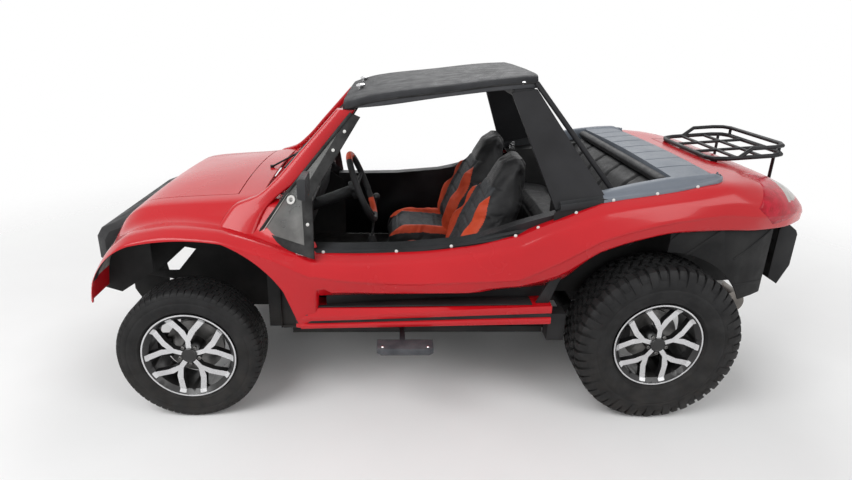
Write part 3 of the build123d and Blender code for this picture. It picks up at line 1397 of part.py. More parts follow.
# Black treads on the sills, bent straps and bolted boxes at their rear ends
TREAD_T = 6
TREAD_ENDS = (SIDE_FRONT_X + 20, SIDE_REAR_X - 86)
tread_rows = []
for share, rim_z, shoulder_z, crease_z, low_z, tuck, tuck_z, tread_z, lip_z, sill_z in SIDE:
    inner_y = -(BODY_HALF - tuck) - SEAT_GAP
    outer_y = -(BODY_HALF - SILL_INSET - 16)
    low = tread_z + SEAT_GAP
    outline = [(inner_y, low), (outer_y, low), (outer_y, low + TREAD_T), (inner_y, low + TREAD_T)]
    tread_rows.append((side_x(share), outline))
tread = skin(tread_rows) & box(*TREAD_ENDS, -BODY_HALF, 0, 500, 620)
strap_x = SIDE_REAR_X - 71
STRAP_T = 13
strap_out = BODY_HALF - 55
strap_outline = [(0, 560), (60, 560), (98, 670), (148, 778), (102, 770), (46, 660)]
strap = slab([(strap_x + x, z) for x, z in strap_outline], -strap_out, -strap_out + STRAP_T)
strap = strap - side_left - band_left
BOX_L = 80
box_x = REAR_AXLE_X - REAR_TYRE_R - BOX_L - 36
bolt_box = box(box_x, box_x + BOX_L, -BODY_HALF + 70, -LINER_Y + 5, 372, 508) - side_left - floor_pan
write("sill_trims", tread, across(tread), strap, across(strap), bolt_box, across(bolt_box))
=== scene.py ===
import bpy
import bmesh
import numpy as np
from math import cos, pi, radians, sin
from mathutils import Matrix, Vector


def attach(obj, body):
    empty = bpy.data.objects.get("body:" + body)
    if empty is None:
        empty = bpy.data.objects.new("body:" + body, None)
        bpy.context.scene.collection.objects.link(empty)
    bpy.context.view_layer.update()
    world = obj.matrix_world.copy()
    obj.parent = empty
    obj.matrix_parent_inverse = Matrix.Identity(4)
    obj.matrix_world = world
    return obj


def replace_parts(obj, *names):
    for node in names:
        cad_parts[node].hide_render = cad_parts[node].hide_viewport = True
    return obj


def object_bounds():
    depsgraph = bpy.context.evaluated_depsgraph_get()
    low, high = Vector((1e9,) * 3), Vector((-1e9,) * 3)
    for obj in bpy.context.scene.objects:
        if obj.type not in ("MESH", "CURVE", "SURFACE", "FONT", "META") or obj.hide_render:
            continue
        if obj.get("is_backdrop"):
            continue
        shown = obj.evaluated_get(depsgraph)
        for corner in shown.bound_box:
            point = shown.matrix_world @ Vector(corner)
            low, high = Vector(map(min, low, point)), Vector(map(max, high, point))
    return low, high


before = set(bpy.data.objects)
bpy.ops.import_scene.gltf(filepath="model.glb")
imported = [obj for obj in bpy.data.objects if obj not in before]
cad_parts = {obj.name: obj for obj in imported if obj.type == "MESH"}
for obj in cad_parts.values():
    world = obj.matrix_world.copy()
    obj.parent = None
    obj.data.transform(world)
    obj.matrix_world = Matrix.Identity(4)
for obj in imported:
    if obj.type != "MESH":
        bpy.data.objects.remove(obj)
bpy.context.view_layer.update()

# Camera: on the left side, three metres out and a little above the roof, where the photograph
# was taken; the buggy fills the frame from the front bumper to the rear one.
yaw, pitch, roll = radians(3.703), radians(20.160), radians(1.727)
place = (-0.30826, -3.08598, 1.73204)
forward = Vector((sin(yaw) * cos(pitch), cos(yaw) * cos(pitch), -sin(pitch)))
level = Vector((cos(yaw), -sin(yaw), 0))
upward = level.cross(forward)
right, upward = cos(roll) * level + sin(roll) * upward, cos(roll) * upward - sin(roll) * level
camera = bpy.data.objects.new("camera", bpy.data.cameras.new("camera"))
camera.data.sensor_width = 36
camera.data.lens = 24.93
camera.matrix_world = Matrix.Translation(place) @ Matrix((right, upward, -forward)).transposed().to_4x4()
bpy.context.collection.objects.link(camera)
bpy.context.scene.camera = camera

# Red fibreglass body: one flowing skin from the bumper over the wings, the side walls and the
# rear bands to the tail, gel-coated and polished, about 10 mm thick, with its arches, bonnet,
# engine lid, lamps and cockpit cut out. It is bolted down on the platform.


def fill(tree, node, inputs):
    """Sets the node's inputs; each is a value or the output that is linked to it."""
    for socket, value in inputs.items():
        if isinstance(value, bpy.types.NodeSocket):
            tree.links.new(value, node.inputs[socket])
        else:
            node.inputs[socket].default_value = value
    return node


def wired(tree, kind, inputs, **settings):
    """New node of the kind, with its settings and inputs."""
    node = tree.nodes.new(kind)
    for name, value in settings.items():
        setattr(node, name, value)
    return fill(tree, node, inputs)


# Colour of road dust, and the heights between which it fades out
DUST, DUSTY_Z = (0.16, 0.13, 0.10, 1), (0.05, 0.62)


def surface(
    name, shade_a, shade_b, rough, patch=5, metal=0, coat=0, bump=0.1, grain=250, cells=False, dust=0, also={}
):
    """Material with patchy colour, uneven gloss and a fine grain; dust gathers near the road."""
    material = bpy.data.materials.new(name)
    material.use_nodes = True
    material.diffuse_color = (*shade_a, 1)
    tree = material.node_tree
    place = tree.nodes.new("ShaderNodeTexCoord").outputs["Object"]

    def noise(scale, detail):
        return wired(tree, "ShaderNodeTexNoise", {"Vector": place, "Scale": scale, "Detail": detail}).outputs["Fac"]

    def ranged(value, low, high, to_low, to_high):
        return wired(tree, "ShaderNodeMapRange", {0: value, 1: low, 2: high, 3: to_low, 4: to_high}).outputs[0]

    def mixed(share, a, b):
        return wired(tree, "ShaderNodeMix", {0: share, 6: a, 7: b}, data_type="RGBA").outputs[2]

    colour = mixed(ranged(noise(patch, 5), 0.35, 0.65, 0, 1), (*shade_a, 1), (*shade_b, 1))
    if dust:
        height = wired(tree, "ShaderNodeSeparateXYZ", {0: place}).outputs[2]
        shares = {0: ranged(height, *DUSTY_Z, dust, 0), 1: ranged(noise(17, 8), 0.35, 0.7, 0.15, 1)}
        colour = mixed(wired(tree, "ShaderNodeMath", shares, operation="MULTIPLY").outputs[0], colour, DUST)
    inputs = {"Base Color": colour, "Roughness": ranged(noise(patch * 2.3, 6), 0.3, 0.7, *rough)}
    inputs.update({"Metallic": metal, "Coat Weight": coat, "Coat Roughness": 0.03})
    inputs["Specular IOR Level"] = 0.5 if metal or coat else 0.2
    if bump:
        if cells:
            height = wired(tree, "ShaderNodeTexVoronoi", {"Vector": place, "Scale": grain}).outputs["Distance"]
        else:
            height = noise(grain, 3)
        relief = wired(tree, "ShaderNodeBump", {"Strength": bump, "Distance": 0.002, "Height": height})
        inputs["Normal"] = relief.outputs["Normal"]
    fill(tree, tree.nodes["Principled BSDF"], {**inputs, **also})
    return material


red_paint = surface(
    "red_gelcoat", (0.52, 0.006, 0.012), (0.46, 0.004, 0.009), (0.20, 0.30), 1.5,
    coat=0.25, bump=0.012, grain=60, dust=0.10, also={"Specular IOR Level": 0.30},
)
black_matt = surface(
    "black_plastic", (0.012, 0.012, 0.013), (0.022, 0.022, 0.024), (0.45, 0.65), 6,
    bump=0.25, grain=900, cells=True, dust=0.35,
)


def flow(knots, values, at):
    """Smooth line through the values at the knots, without overshoot."""
    step = np.diff(knots)
    rise = np.diff(values) / step
    slope = np.zeros(len(knots))
    slope[0], slope[-1] = rise[0], rise[-1]
    for i in range(1, len(knots) - 1):
        if rise[i - 1] * rise[i] > 0:
            w0, w1 = 2 * step[i] + step[i - 1], step[i] + 2 * step[i - 1]
            slope[i] = (w0 + w1) / (w0 / rise[i - 1] + w1 / rise[i])
    i = np.clip(np.searchsorted(knots, at, side="right") - 1, 0, len(step) - 1)
    u = (at - np.array(knots)[i]) / step[i]
    start, end = np.array(values)[i], np.array(values)[i + 1]
    curve = (2 * u**3 - 3 * u**2 + 1) * start + (3 * u**2 - 2 * u**3) * end
    return curve + step[i] * ((u**3 - 2 * u**2 + u) * slope[i] + (u**3 - u**2) * slope[i + 1])


def lines_through(table, at):
    """Smooth line through each further column of the table, at values of its first column."""
    table = np.array(table, float)
    return [flow(table[:, 0], column, at) for column in table.T[1:]]


def rounded(points, shares, steps=5):
    """Line through the points, each inner corner rounded over a share of its two runs."""
    line = [points[0]]
    for before, corner, after, share in zip(points, points[1:], points[2:], shares):
        a, b = corner + (before - corner) * share, corner + (after - corner) * share
        for number in range(steps + 1):
            t = number / steps
            line.append(a * (1 - t) ** 2 + corner * (2 * t * (1 - t)) + b * t**2)
    line.append(points[-1])
    return line


def grid(rows, around=False, ends=False):
    """Vertices and faces between rows of points; around closes each row, ends closes both ends."""
    count = len(rows[0])
    faces = []
    for r in range(len(rows) - 1):
        for c in range(count if around else count - 1):
            a, b = r * count + c, r * count + (c + 1) % count
            faces.append((a, b, b + count, a + count))
    if ends:
        last = (len(rows) - 1) * count
        faces += [tuple(range(count))[::-1], tuple(range(last, last + count))]
    return [tuple(point) for row in rows for point in row], faces


def piece(name, slot, form, *materials, body="chassis", angle=35):
    """Object of the visual model from its vertices and faces, riding on its body."""
    mesh = bpy.data.meshes.new(name)
    mesh.from_pydata(form[0], [], form[1])
    for material in materials:
        mesh.materials.append(material)
    obj = bpy.data.objects.new(name, mesh)
    bpy.context.collection.objects.link(obj)
    work = bmesh.new()
    work.from_mesh(mesh)
    bmesh.ops.remove_doubles(work, verts=work.verts, dist=1e-6)
    bmesh.ops.recalc_face_normals(work, faces=work.faces)
    work.to_mesh(mesh)
    work.free()
    smooth(obj, angle)
    if body:
        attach(obj, body)
    return obj


def solid(name, slot, rows, *materials, body="chassis", angle=35):
    """Piece that is closed all round between its rows of points."""
    return piece(name, slot, grid(rows, around=True, ends=True), *materials, body=body, angle=angle)


SIDES = ((-1, "left"), (1, "right"))


def on_side(side, point):
    """Point of the right side, on the left (-1) or the right (1)."""
    return Vector((point[0], side * point[1], point[2]))


def pair(title, slot, rows, *materials, angle=35):
    """Closed pieces on the left and the right, from the rows of the right one."""
    made = []
    for side, word in SIDES:
        turned = [[on_side(side, point) for point in row] for row in rows]
        made.append(solid(title + "_" + word, slot, turned, *materials, angle=angle))
    return made


def smooth(obj, angle=35):
    """Smooth shading with sharp edges over the angle."""
    obj.data.polygons.foreach_set("use_smooth", [True] * len(obj.data.polygons))
    obj.data.set_sharp_from_angle(angle=radians(angle))


def settle(obj):
    """Makes the result of the modifiers the object's own mesh."""
    bpy.context.view_layer.update()
    graph = bpy.context.evaluated_depsgraph_get()
    seen = obj.evaluated_get(graph)
    mesh = bpy.data.meshes.new_from_object(seen, preserve_all_data_layers=True, depsgraph=graph)
    obj.modifiers.clear()
    obj.data = mesh
    return obj


def combine(obj, operation, *tools):
    """Boolean of the object with each tool; the tools are taken away."""
    for tool in tools:
        step = obj.modifiers.new(tool.name, "BOOLEAN")
        step.operation, step.solver, step.object = operation, "EXACT", tool
    settle(obj)
    for tool in tools:
        bpy.data.objects.remove(tool)
    return obj


def both_sides(obj):
    """The right half of the object, also as its mirror image on the left."""
    work = bmesh.new()
    work.from_mesh(obj.data)
    everything = work.verts[:] + work.edges[:] + work.faces[:]
    bmesh.ops.bisect_plane(work, geom=everything, plane_co=(0, 0, 0), plane_no=(0, -1, 0), clear_outer=True)
    work.to_mesh(obj.data)
    work.free()
    mirror = obj.modifiers.new("mirror", "MIRROR")
    mirror.use_axis = (False, True, False)
    mirror.merge_threshold = 0.0005
    return settle(obj)


def prism(points, axis, near, far):
    """Tool between two planes across the axis; outline points are the other two coordinates."""
    rows = [[(*p[:axis], value, *p[axis:]) for p in points] for value in (near, far)]
    return solid("tool", None, rows, red_paint, body=None)


FRONT_AXLE_X, REAR_AXLE_X = -1.195, 0.915
# columns: x from the front axle, z on the centre line, then (inset, z): crease, valley, crown,
# shoulder, low side, bottom edge, all in mm
NOSE = [
    (-367, 600, (290, 600), (190, 598), (90, 596), (40, 592), (39, 589), (38, 585)),
    (-350, 730, (285, 725), (188, 700), (85, 690), (33, 665), (31, 620), (30, 575)),
    (-310, 835, (278, 825), (186, 785), (78, 765), (28, 735), (26, 650), (25, 565)),
    (-260, 905, (272, 895), (184, 835), (74, 820), (25, 790), (22, 670), (20, 555)),
    (-185, 950, (265, 935), (182, 868), (70, 870), (22, 842), (20, 690), (18, 530)),
    (0, 985, (258, 955), (178, 893), (65, 900), (18, 870), (16, 690), (15, 500)),
    (155, 1000, (250, 967), (160, 880), (60, 893), (14, 862), (12, 680), (10, 480)),
    (295, 1002, (230, 980), (125, 847), (45, 862), (6, 825), (8, 675), (8, 462)),
    (415, 1002, (190, 980), (85, 822), (35, 825), (0, 785), (12, 670), (30, 456)),
    (555, 1002, (190, 980), (70, 806), (22, 790), (0, 728), (15, 668), (45, 455)),
]
# columns: share of the side wall, rim, shoulder, crease and low z, tuck inset and z,
# tread z, sill's top and bottom z
SIDE = [
    (0.0, 806, 790, 728, 668, 45, 620, 555, 520, 459),
    (0.152, 808, 785, 710, 672, 80, 610, 556, 526, 462),
    (0.357, 820, 797, 702, 664, 105, 600, 558, 536, 466),
    (0.609, 862, 838, 722, 668, 122, 600, 562, 549, 472),
    (0.841, 950, 915, 782, 722, 122, 625, 567, 560, 477),
    (1.0, 1000, 968, 838, 773, 122, 650, 571, 568, 480),
]
SIDE_FRONT_X, SIDE_REAR_X = -0.640, 0.411
# columns: x from the rear axle, rim, shoulder, crease and low z, inset
BAND = [
    (-324, 1027, 995, 893, 841, 5),
    (-157, 1050, 1022, 940, 892, 12),
    (13, 1075, 1045, 975, 925, 22),
]
# columns: x from the rear axle, z on the centre line, then (inset, z): top, edge, shoulder,
# crease, low edge
TAIL = [
    (235, 1118, (230, 1118), (90, 1112), (42, 1060), (38, 995), (55, 932)),
    (355, 1117, (250, 1120), (115, 1108), (55, 1050), (48, 988), (68, 928)),
    (458, 1110, (270, 1110), (150, 1084), (85, 1038), (80, 982), (100, 925)),
    (555, 1090, (290, 1088), (195, 1058), (140, 1020), (130, 975), (142, 922)),
    (635, 1056, (330, 1052), (250, 1030), (205, 1000), (190, 965), (200, 920)),
    (695, 1000, (370, 998), (300, 985), (260, 970), (250, 950), (255, 918)),
    (717, 930, (390, 930), (330, 928), (300, 925), (290, 922), (290, 916)),
]
# Rounding of the crease, valley, crown, both sides of the side line and the low edge, by zone
NOSE_ROUND = (0.14, 0.42, 0.30, 0.30, 0.20, 0.30)
SIDE_ROUND = (0.10, 0.12, 0.30, 0.18, 0.20, 0.15)
TAIL_ROUND = (0.40, 0.40, 0.40, 0.18, 0.20, 0.10)
HALF_WIDTH, LINE_H, LINE_STEP, RIM_IN, SHOULDER_IN = 790, 4, 5, 70, 22
body_rows = []


def from_insets(top, pairs, step):
    """Half section from (inset, z) pairs, with a step at the line along the side."""
    line = [(0, top)] + [(HALF_WIDTH - inset, z) for inset, z in pairs]
    out, z = line[4]
    line[4:5] = [(out, z + LINE_H), (out - step, z - LINE_H)]
    return line


def flat_topped(out, rim, shoulder, crease):
    """Half section from the middle to the line along the side, under a level rim."""
    line = [(0, rim), (600, rim), (out - RIM_IN, rim), (out - SHOULDER_IN, shoulder)]
    return line + [(out, crease + LINE_H), (out - LINE_STEP, crease - LINE_H)]


for dx, top, *pairs in NOSE:
    step = LINE_STEP * min(1, max(0, (dx - 330) / 200))
    body_rows.append((1000 * FRONT_AXLE_X + dx, from_insets(top, pairs, step), NOSE_ROUND))
for share, rim, shoulder, crease, low, tuck, tuck_z, *rest in SIDE:
    x = 1000 * (SIDE_FRONT_X + share * (SIDE_REAR_X - SIDE_FRONT_X)) + (22 if share == 0 else 0)
    line = flat_topped(HALF_WIDTH, rim, shoulder, crease)
    body_rows.append((x, line + [(775, low), (HALF_WIDTH - tuck, tuck_z)], SIDE_ROUND))
for dx, rim, shoulder, crease, low, inset in BAND:
    out = HALF_WIDTH - inset
    line = flat_topped(out, rim, shoulder, crease)
    body_rows.append((1000 * REAR_AXLE_X + dx, line + [(out - 15, low), (out - 45, low)], SIDE_ROUND))
for dx, top, *pairs in TAIL:
    line = from_insets(top, pairs, 3)
    line.append((line[-1][0] - 30, line[-1][1]))
    body_rows.append((1000 * REAR_AXLE_X + dx, line, TAIL_ROUND))


def body_shell():
    """Closed shell of the whole red skin, before anything is cut."""
    table = np.array([[x] + [v for point in line for v in point] + list(shares) for x, line, shares in body_rows])
    width = 2 * len(body_rows[0][1])
    run = [0.0]
    for one, two in zip(table, table[1:]):
        gap = two[: width + 1] - one[: width + 1]
        across = [np.hypot(gap[0], np.hypot(gap[1 + 2 * c], gap[2 + 2 * c])) for c in range(width // 2)]
        run.append(run[-1] + float(np.mean(across)))
    stations = []
    for start, end in zip(run, run[1:]):
        parts = max(2, int((end - start) / 20))
        stations += [start + (end - start) * n / parts for n in range(parts)]
    stations = np.array(stations + [run[-1]])
    fine = np.array([flow(np.array(run), table[:, c], stations) for c in range(table.shape[1])]).T
    rows = []
    for values in fine:
        x = values[0] / 1000
        left = [Vector((x, -values[1 + 2 * c] / 1000, values[2 + 2 * c] / 1000)) for c in range(width // 2)]
        half = rounded(left, values[width + 1 :], 5)
        edge, bow = half[1], Vector((x, half[1].y / 2, left[0].z))
        crown = [left[0] * (1 - t) ** 2 + bow * (2 * t * (1 - t)) + edge * t**2 for t in (0, 0.2, 0.4, 0.6, 0.8)]
        line = crown[1:] + half[1:]
        rows.append([Vector((p.x, -p.y, p.z)) for p in line[::-1]] + [crown[0]] + line)
    shell = piece("body", "red_paint", grid(rows), red_paint)
    if shell.data.polygons[len(shell.data.polygons) // 2].normal.z < 0:
        shell.data.flip_normals()
    skin = shell.modifiers.new("skin", "SOLIDIFY")
    skin.thickness = 0.010
    skin.offset = -1
    return settle(shell)


def arc(a, b, c, steps=14):
    """Points on the circle through three (x, z) points, from the first to the last."""
    (ax, ay), (bx, by), (cx, cy) = a, b, c
    d = 2 * (ax * (by - cy) + bx * (cy - ay) + cx * (ay - by))
    ux = ((ax**2 + ay**2) * (by - cy) + (bx**2 + by**2) * (cy - ay) + (cx**2 + cy**2) * (ay - by)) / d
    uy = ((ax**2 + ay**2) * (cx - bx) + (bx**2 + by**2) * (ax - cx) + (cx**2 + cy**2) * (bx - ax)) / d
    radius = np.hypot(ax - ux, ay - uy)
    start, middle, end = (np.arctan2(y - uy, x - ux) for x, y in (a, b, c))
    turn = (end - start) % (2 * pi)
    if (middle - start) % (2 * pi) > turn:
        turn -= 2 * pi
    angles = [start + turn * n / steps for n in range(steps + 1)]
    return [(ux + radius * cos(angle), uy + radius * sin(angle)) for angle in angles]


# Front arch, (x from the front axle, z)
ARCH = [(-366, 585), (-322, 735), (-185, 842), (-10, 868), (195, 858), (330, 775), (436, 645), (500, 455)]
arch_points = [(FRONT_AXLE_X + x / 1000, z / 1000) for x, z in ARCH]
arch_line = arc(*arch_points[0:3]) + arc(*arch_points[2:5])[1:] + arc(*arch_points[4:7])[1:] + [arch_points[7]]
arch_outline = arch_line + [(arch_points[7][0], 0.300), (arch_points[0][0], 0.300)]
COCKPIT = [
    (-0.883, 0.560), (-0.793, 0.560), (-0.653, 0.690), (-0.595, 0.700),
    (-0.560, 0.655), (0.411, 0.652), (0.758, 0.640), (1.147, 0.612),
]
TAIL_LAMP = [(353, 1028), (415, 1128), (480, 1150), (600, 1150), (700, 1010), (560, 955), (462, 942)]
HEAD_LAMP = [(-1.580, 0.690), (-1.580, 0.812), (-1.470, 0.812), (-1.470, 0.690)]
# Ends of the lids, (x, half width)
BONNET, ENGINE_LID = ((-1.470, 0.440), (-0.995, 0.470)), ((1.240, 0.330), (1.605, 0.330))
LID_GAP, OVER_ALL = 0.005, 1.20


def lid_tool(ends, gap, low):
    """Tool in the plan of a lid, grown by the gap, from the low height up."""
    (front, front_half), (rear, rear_half) = ends
    front, rear, front_half, rear_half = front - gap, rear + gap, front_half + gap, rear_half + gap
    plan = [(front, -front_half), (rear, -rear_half), (rear, rear_half), (front, front_half)]
    return prism(plan, 2, low, OVER_ALL)


def lamp_tool(kind):
    """Tool that cuts the pair's right lamp out of the skin."""
    if kind == "head":
        return prism(HEAD_LAMP, 1, 0.520, 0.715)
    return prism([(REAR_AXLE_X + x / 1000, z / 1000) for x, z in TAIL_LAMP], 1, 0.49, 0.80)


whole = body_shell()
shells = {name: whole.copy() for name in ("bonnet_lid", "engine_cover", "tail_lens", "head_lens")}
for name, obj in shells.items():
    obj.data = whole.data.copy()
    obj.name = name
    bpy.context.collection.objects.link(obj)
combine(
    whole,
    "DIFFERENCE",
    prism(arch_outline, 1, 0.41, 0.82),
    prism(COCKPIT + [(x, -y) for x, y in COCKPIT[::-1]], 2, 0.30, 1.30),
    lid_tool(BONNET, LID_GAP, 0.70),
    lid_tool(ENGINE_LID, LID_GAP, 0.95),
    lamp_tool("tail"),
    lamp_tool("head"),
)
both_sides(whole)
# The rim between the seats and the nose dips below its straight run, (x, drop)
RIM_DROP = [
    (-0.800, 0), (-0.640, 0.016), (-0.480, 0.019), (-0.265, 0.024), (0.000, 0.040),
    (0.244, 0.076), (0.411, 0.052), (0.591, 0.004), (0.700, 0),
]
DIP_Z, DIP_FULL_H = 0.62, 0.16
LOW_EDGE_Z, LOW_EDGE_H, LOW_EDGE_DROP = 0.665, 0.05, 0.024


def dip(vertices):
    """Lowers the side walls' upper part to the rim's dip, and their low edge a little."""
    for vertex in vertices:
        x, y, z = vertex.co
        if abs(y) > 0.60 and x > -0.80 and z > DIP_Z:
            drop = float(np.interp(x, *zip(*RIM_DROP))) * min(1, (z - DIP_Z) / DIP_FULL_H)
            low = max(0, 1 - abs(z - LOW_EDGE_Z) / LOW_EDGE_H) if -0.58 < x < 0.30 else 0
            vertex.co.z -= max(drop, LOW_EDGE_DROP * low)


dip(whole.data.vertices)
whole.data.materials.append(black_matt)
for face in whole.data.polygons:
    inward = face.normal.y * np.sign(face.center.y)
    if inward < -0.1 and face.normal.z < 0.1 or inward < 0.3 and face.normal.z < -0.3:
        face.material_index = 1
smooth(whole, 28)
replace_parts(whole, "front_body", "side_bodies", "rear_body")
LIDS = [("bonnet_lid", "bonnet", BONNET, 0.70), ("engine_cover", "engine_lid", ENGINE_LID, 0.955)]
for title, node, ends, low in LIDS:
    lid = combine(shells[title], "INTERSECT", lid_tool(ends, 0, low))
    smooth(lid, 28)
    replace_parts(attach(lid, node), node)

# Sills: red ribbed mouldings under the shelf of each side wall, with a black strip between the
# two ribs and a black core behind; they are part of the same fibreglass body.
fine_xs = np.linspace(SIDE_FRONT_X, SIDE_REAR_X, 40)
side_table = [(SIDE_FRONT_X + share * (SIDE_REAR_X - SIDE_FRONT_X), *rest) for share, *rest in SIDE]
side_lines = lines_through(side_table, fine_xs)
SILL_FRONT_X, SILL_OUT, SILL_IN, STRIP_DEPTH = -0.716, 0.770, 0.650, 0.009
sill_rows, core_rows = [], []
for x in np.linspace(SILL_FRONT_X, SIDE_REAR_X, 44):
    grow = min(1.0, (x - SILL_FRONT_X) / 0.05)
    rim, _, _, low, tuck, _, tread, lip, base = (float(np.interp(x, fine_xs, line)) / 1000 for line in side_lines)
    face, rib = SILL_OUT - 0.010 * (1 - grow), (lip - base) * 0.36
    deep = face - STRIP_DEPTH * grow
    section = [
        (SILL_IN, tread),
        (face - 0.018, tread),
        (face - 0.012, tread - 0.001),
        (face - 0.001, lip + 0.004),
        (face, lip - 0.002),
        (face, lip - rib + 0.004),
        (face - 0.002, lip - rib),
        (deep, lip - rib - 0.002),
        (deep, base + rib + 0.002),
        (face - 0.002, base + rib),
        (face, base + rib - 0.004),
        (face, base + 0.008),
        (face - 0.003, base + 0.002),
        (face - 0.010, base),
        (SILL_IN, base),
    ]
    sill_rows.append([(x, y, z) for y, z in section])
    if x > -0.60:
        wall = 0.788 - tuck
        core = [(0.648, rim - 0.020), (0.700, rim - 0.022), (wall, low + 0.020)]
        core += [(wall - 0.003, tread + 0.002), (0.648, tread + 0.002)]
        core_rows.append([(x, y, z) for y, z in core])
for sill in pair("sill", "red_paint", sill_rows, red_paint, black_matt, angle=30):
    for face in sill.data.polygons:
        y, z = abs(face.center.y), face.center.z
        if abs(face.normal.y) > 0.9 and 0.70 < y < 0.7625 and z < 0.56 and len(face.vertices) == 4:
            face.material_index = 1
pair("side_core", "red_paint", core_rows, black_matt)

# Windscreen frame: red pillars that flow up out of the wings with a rounded face, a cowl
# across the car and a black header tube under the roof. The pillars are laminated into the body.
# columns: z, front and rear x from the front axle, inset of the outer face, width
PILLARS = [
    (862, 130, 312, -85, 120),
    (950, 190, 345, -30, 80),
    (975, 215, 365, -12, 62),
    (1005, 300, 395, 4, 56),
    (1065, 375, 475, 22, 55),
    (1196, 493, 587, 62, 55),
    (1372, 650, 733, 110, 55),
]
PILLAR_BASE = 0.600


def loop_between(x0, x1, y0, y1, z, corner=0.35):
    """Rounded level outline between two x and two y."""
    cx, cy, hx, hy = (x0 + x1) / 2, (y0 + y1) / 2, (x1 - x0) / 2, (y1 - y0) / 2
    loop = []
    for number in range(28):
        turn = 2 * pi * number / 28
        c, s = cos(turn), sin(turn)
        loop.append(Vector((cx + hx * np.sign(c) * abs(c) ** corner, cy + hy * np.sign(s) * abs(s) ** corner, z)))
    return loop


levels = np.linspace(PILLARS[0][0], PILLARS[-1][0], 40)
pillar_rows = list(zip(*(line / 1000 for line in [levels] + lines_through(PILLARS, levels))))
rows = []
for z, front, rear, inset, width in pillar_rows:
    out = PILLAR_BASE - inset
    rows.append(loop_between(FRONT_AXLE_X + front, FRONT_AXLE_X + rear, out, out - width, z, 0.45))
pair("pillar", "red_paint", rows, red_paint)
black_steel = surface(
    "black_powder_coat", (0.010, 0.010, 0.011), (0.018, 0.018, 0.020), (0.32, 0.48), 5,
    bump=0.10, grain=700, dust=0.3,
)
rubber = surface("seal_rubber", (0.012, 0.012, 0.012), (0.03, 0.03, 0.03), (0.55, 0.75), 20, bump=0.15, grain=500)
COWL_HALF = 0.562
cowl_rows = []
for y in np.linspace(-COWL_HALF, COWL_HALF, 30):
    bow = 0.006 * (1 - (y / COWL_HALF) ** 2)
    section = [(-0.884, 0.880), (-0.884, 0.985 + bow), (-0.878, 0.992 + bow)]
    section += [(-0.800, 0.994 + bow), (-0.793, 0.988), (-0.822, 0.880)]
    cowl_rows.append([(x, y, z) for x, z in section])
cowl = solid("cowl", "red_paint", cowl_rows, red_paint, angle=50)
HEADER = [(-0.543, 1.332), (-0.497, 1.332), (-0.475, 1.352), (-0.465, 1.380), (-0.505, 1.375), (-0.525, 1.362)]
header_rows = [[(x, y, z) for x, z in HEADER] for y in np.linspace(-0.482, 0.482, 24)]
solid("header_rail", "black_paint", header_rows, black_steel, angle=50)
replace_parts(cowl, "windscreen_frame")

# Windscreen: flat laminated glass held in the pillars by a black rubber seal, and one wiper
# with a rubber blade on a spindle through the cowl.
glass = surface(
    "windscreen_glass", (0.80, 0.86, 0.84), (0.86, 0.90, 0.88), (0.0, 0.03), 3,
    bump=0, also={"Transmission Weight": 0.96, "IOR": 1.05},
)
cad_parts["windscreen_glass"].data.materials.clear()
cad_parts["windscreen_glass"].data.materials.append(glass)


def bar(name, slot, points, radius, material, sides=12):
    """Round bar or welt through the points, with closed ends."""
    points, rows, lift = [Vector(point) for point in points], [], Vector((0.13, 0.21, 0.97))
    for before, point, after in zip(points[:1] + points, points, points[1:] + points[-1:]):
        run = (after - before).normalized()
        side = run.cross(lift).normalized()
        top = side.cross(run)
        turns = [2 * pi * n / sides for n in range(sides)]
        rows.append([point + radius * (cos(a) * side + sin(a) * top) for a in turns])
    return solid(name, slot, rows, material)


for side, word in SIDES:
    line = []
    for z, front, rear, inset, width in pillar_rows:
        if z > 0.995:
            line.append((FRONT_AXLE_X + (front + rear) / 2 + 0.003, side * (PILLAR_BASE - inset - width + 0.002), z))
    bar("glass_seal_" + word, "black_paint", line, 0.008, rubber, sides=8)


def dressed(node, slot, bevel, *materials, body="chassis", angle=38):
    """Piece with the node's own form, its edges rounded, which stands for the node."""
    obj = bpy.data.objects.new(node + "_piece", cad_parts[node].data.copy())
    bpy.context.collection.objects.link(obj)
    obj.data.transform(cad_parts[node].matrix_world)
    work = bmesh.new()
    work.from_mesh(obj.data)
    bmesh.ops.remove_doubles(work, verts=work.verts, dist=2e-5)
    bmesh.ops.dissolve_limit(work, angle_limit=radians(1), verts=work.verts, edges=work.edges)
    bmesh.ops.recalc_face_normals(work, faces=work.faces)
    work.to_mesh(obj.data)
    work.free()
    obj.data.materials.clear()
    for material in materials:
        obj.data.materials.append(material)
    if bevel:
        edge = obj.modifiers.new("edge", "BEVEL")
        edge.width, edge.segments, edge.limit_method, edge.angle_limit = bevel, 2, "ANGLE", radians(angle)
        settle(obj)
    smooth(obj, 50 if bevel else angle)
    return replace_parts(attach(obj, body), node)


dressed("wiper", "black_paint", 0, black_steel)

# Hard roof panel: a grey-black frame with an upright flange all round, under a black grained
# vinyl skin stretched over its crowned top and turned down over the edge.
# columns: share of the length, inset, z of the low edge, of the flange and of the crown, in mm
ROOF = [
    (0.0, -23, 1378, 1400, 1410),
    (0.157, -15, 1390, 1438, 1452),
    (0.54, 8, 1437, 1483, 1500),
    (0.86, 28, 1470, 1519, 1532),
    (1.0, 40, 1478, 1528, 1538),
]
ROOF_FRONT, ROOF_LENGTH, ROOF_HALF = -0.515, 0.848, 0.490
fine_share = np.linspace(0, 1, 44)
roof_lines = [line / 1000 for line in lines_through(ROOF, fine_share)]
vinyl = surface(
    "roof_vinyl", (0.020, 0.021, 0.023), (0.034, 0.035, 0.038), (0.48, 0.66), 9,
    bump=0.55, grain=420, cells=True,
)
roof_grey = surface(
    "roof_frame_grey", (0.055, 0.057, 0.062), (0.075, 0.077, 0.082), (0.35, 0.5), 8, bump=0.08, grain=600
)
skin_rows, rail_rows = [], []
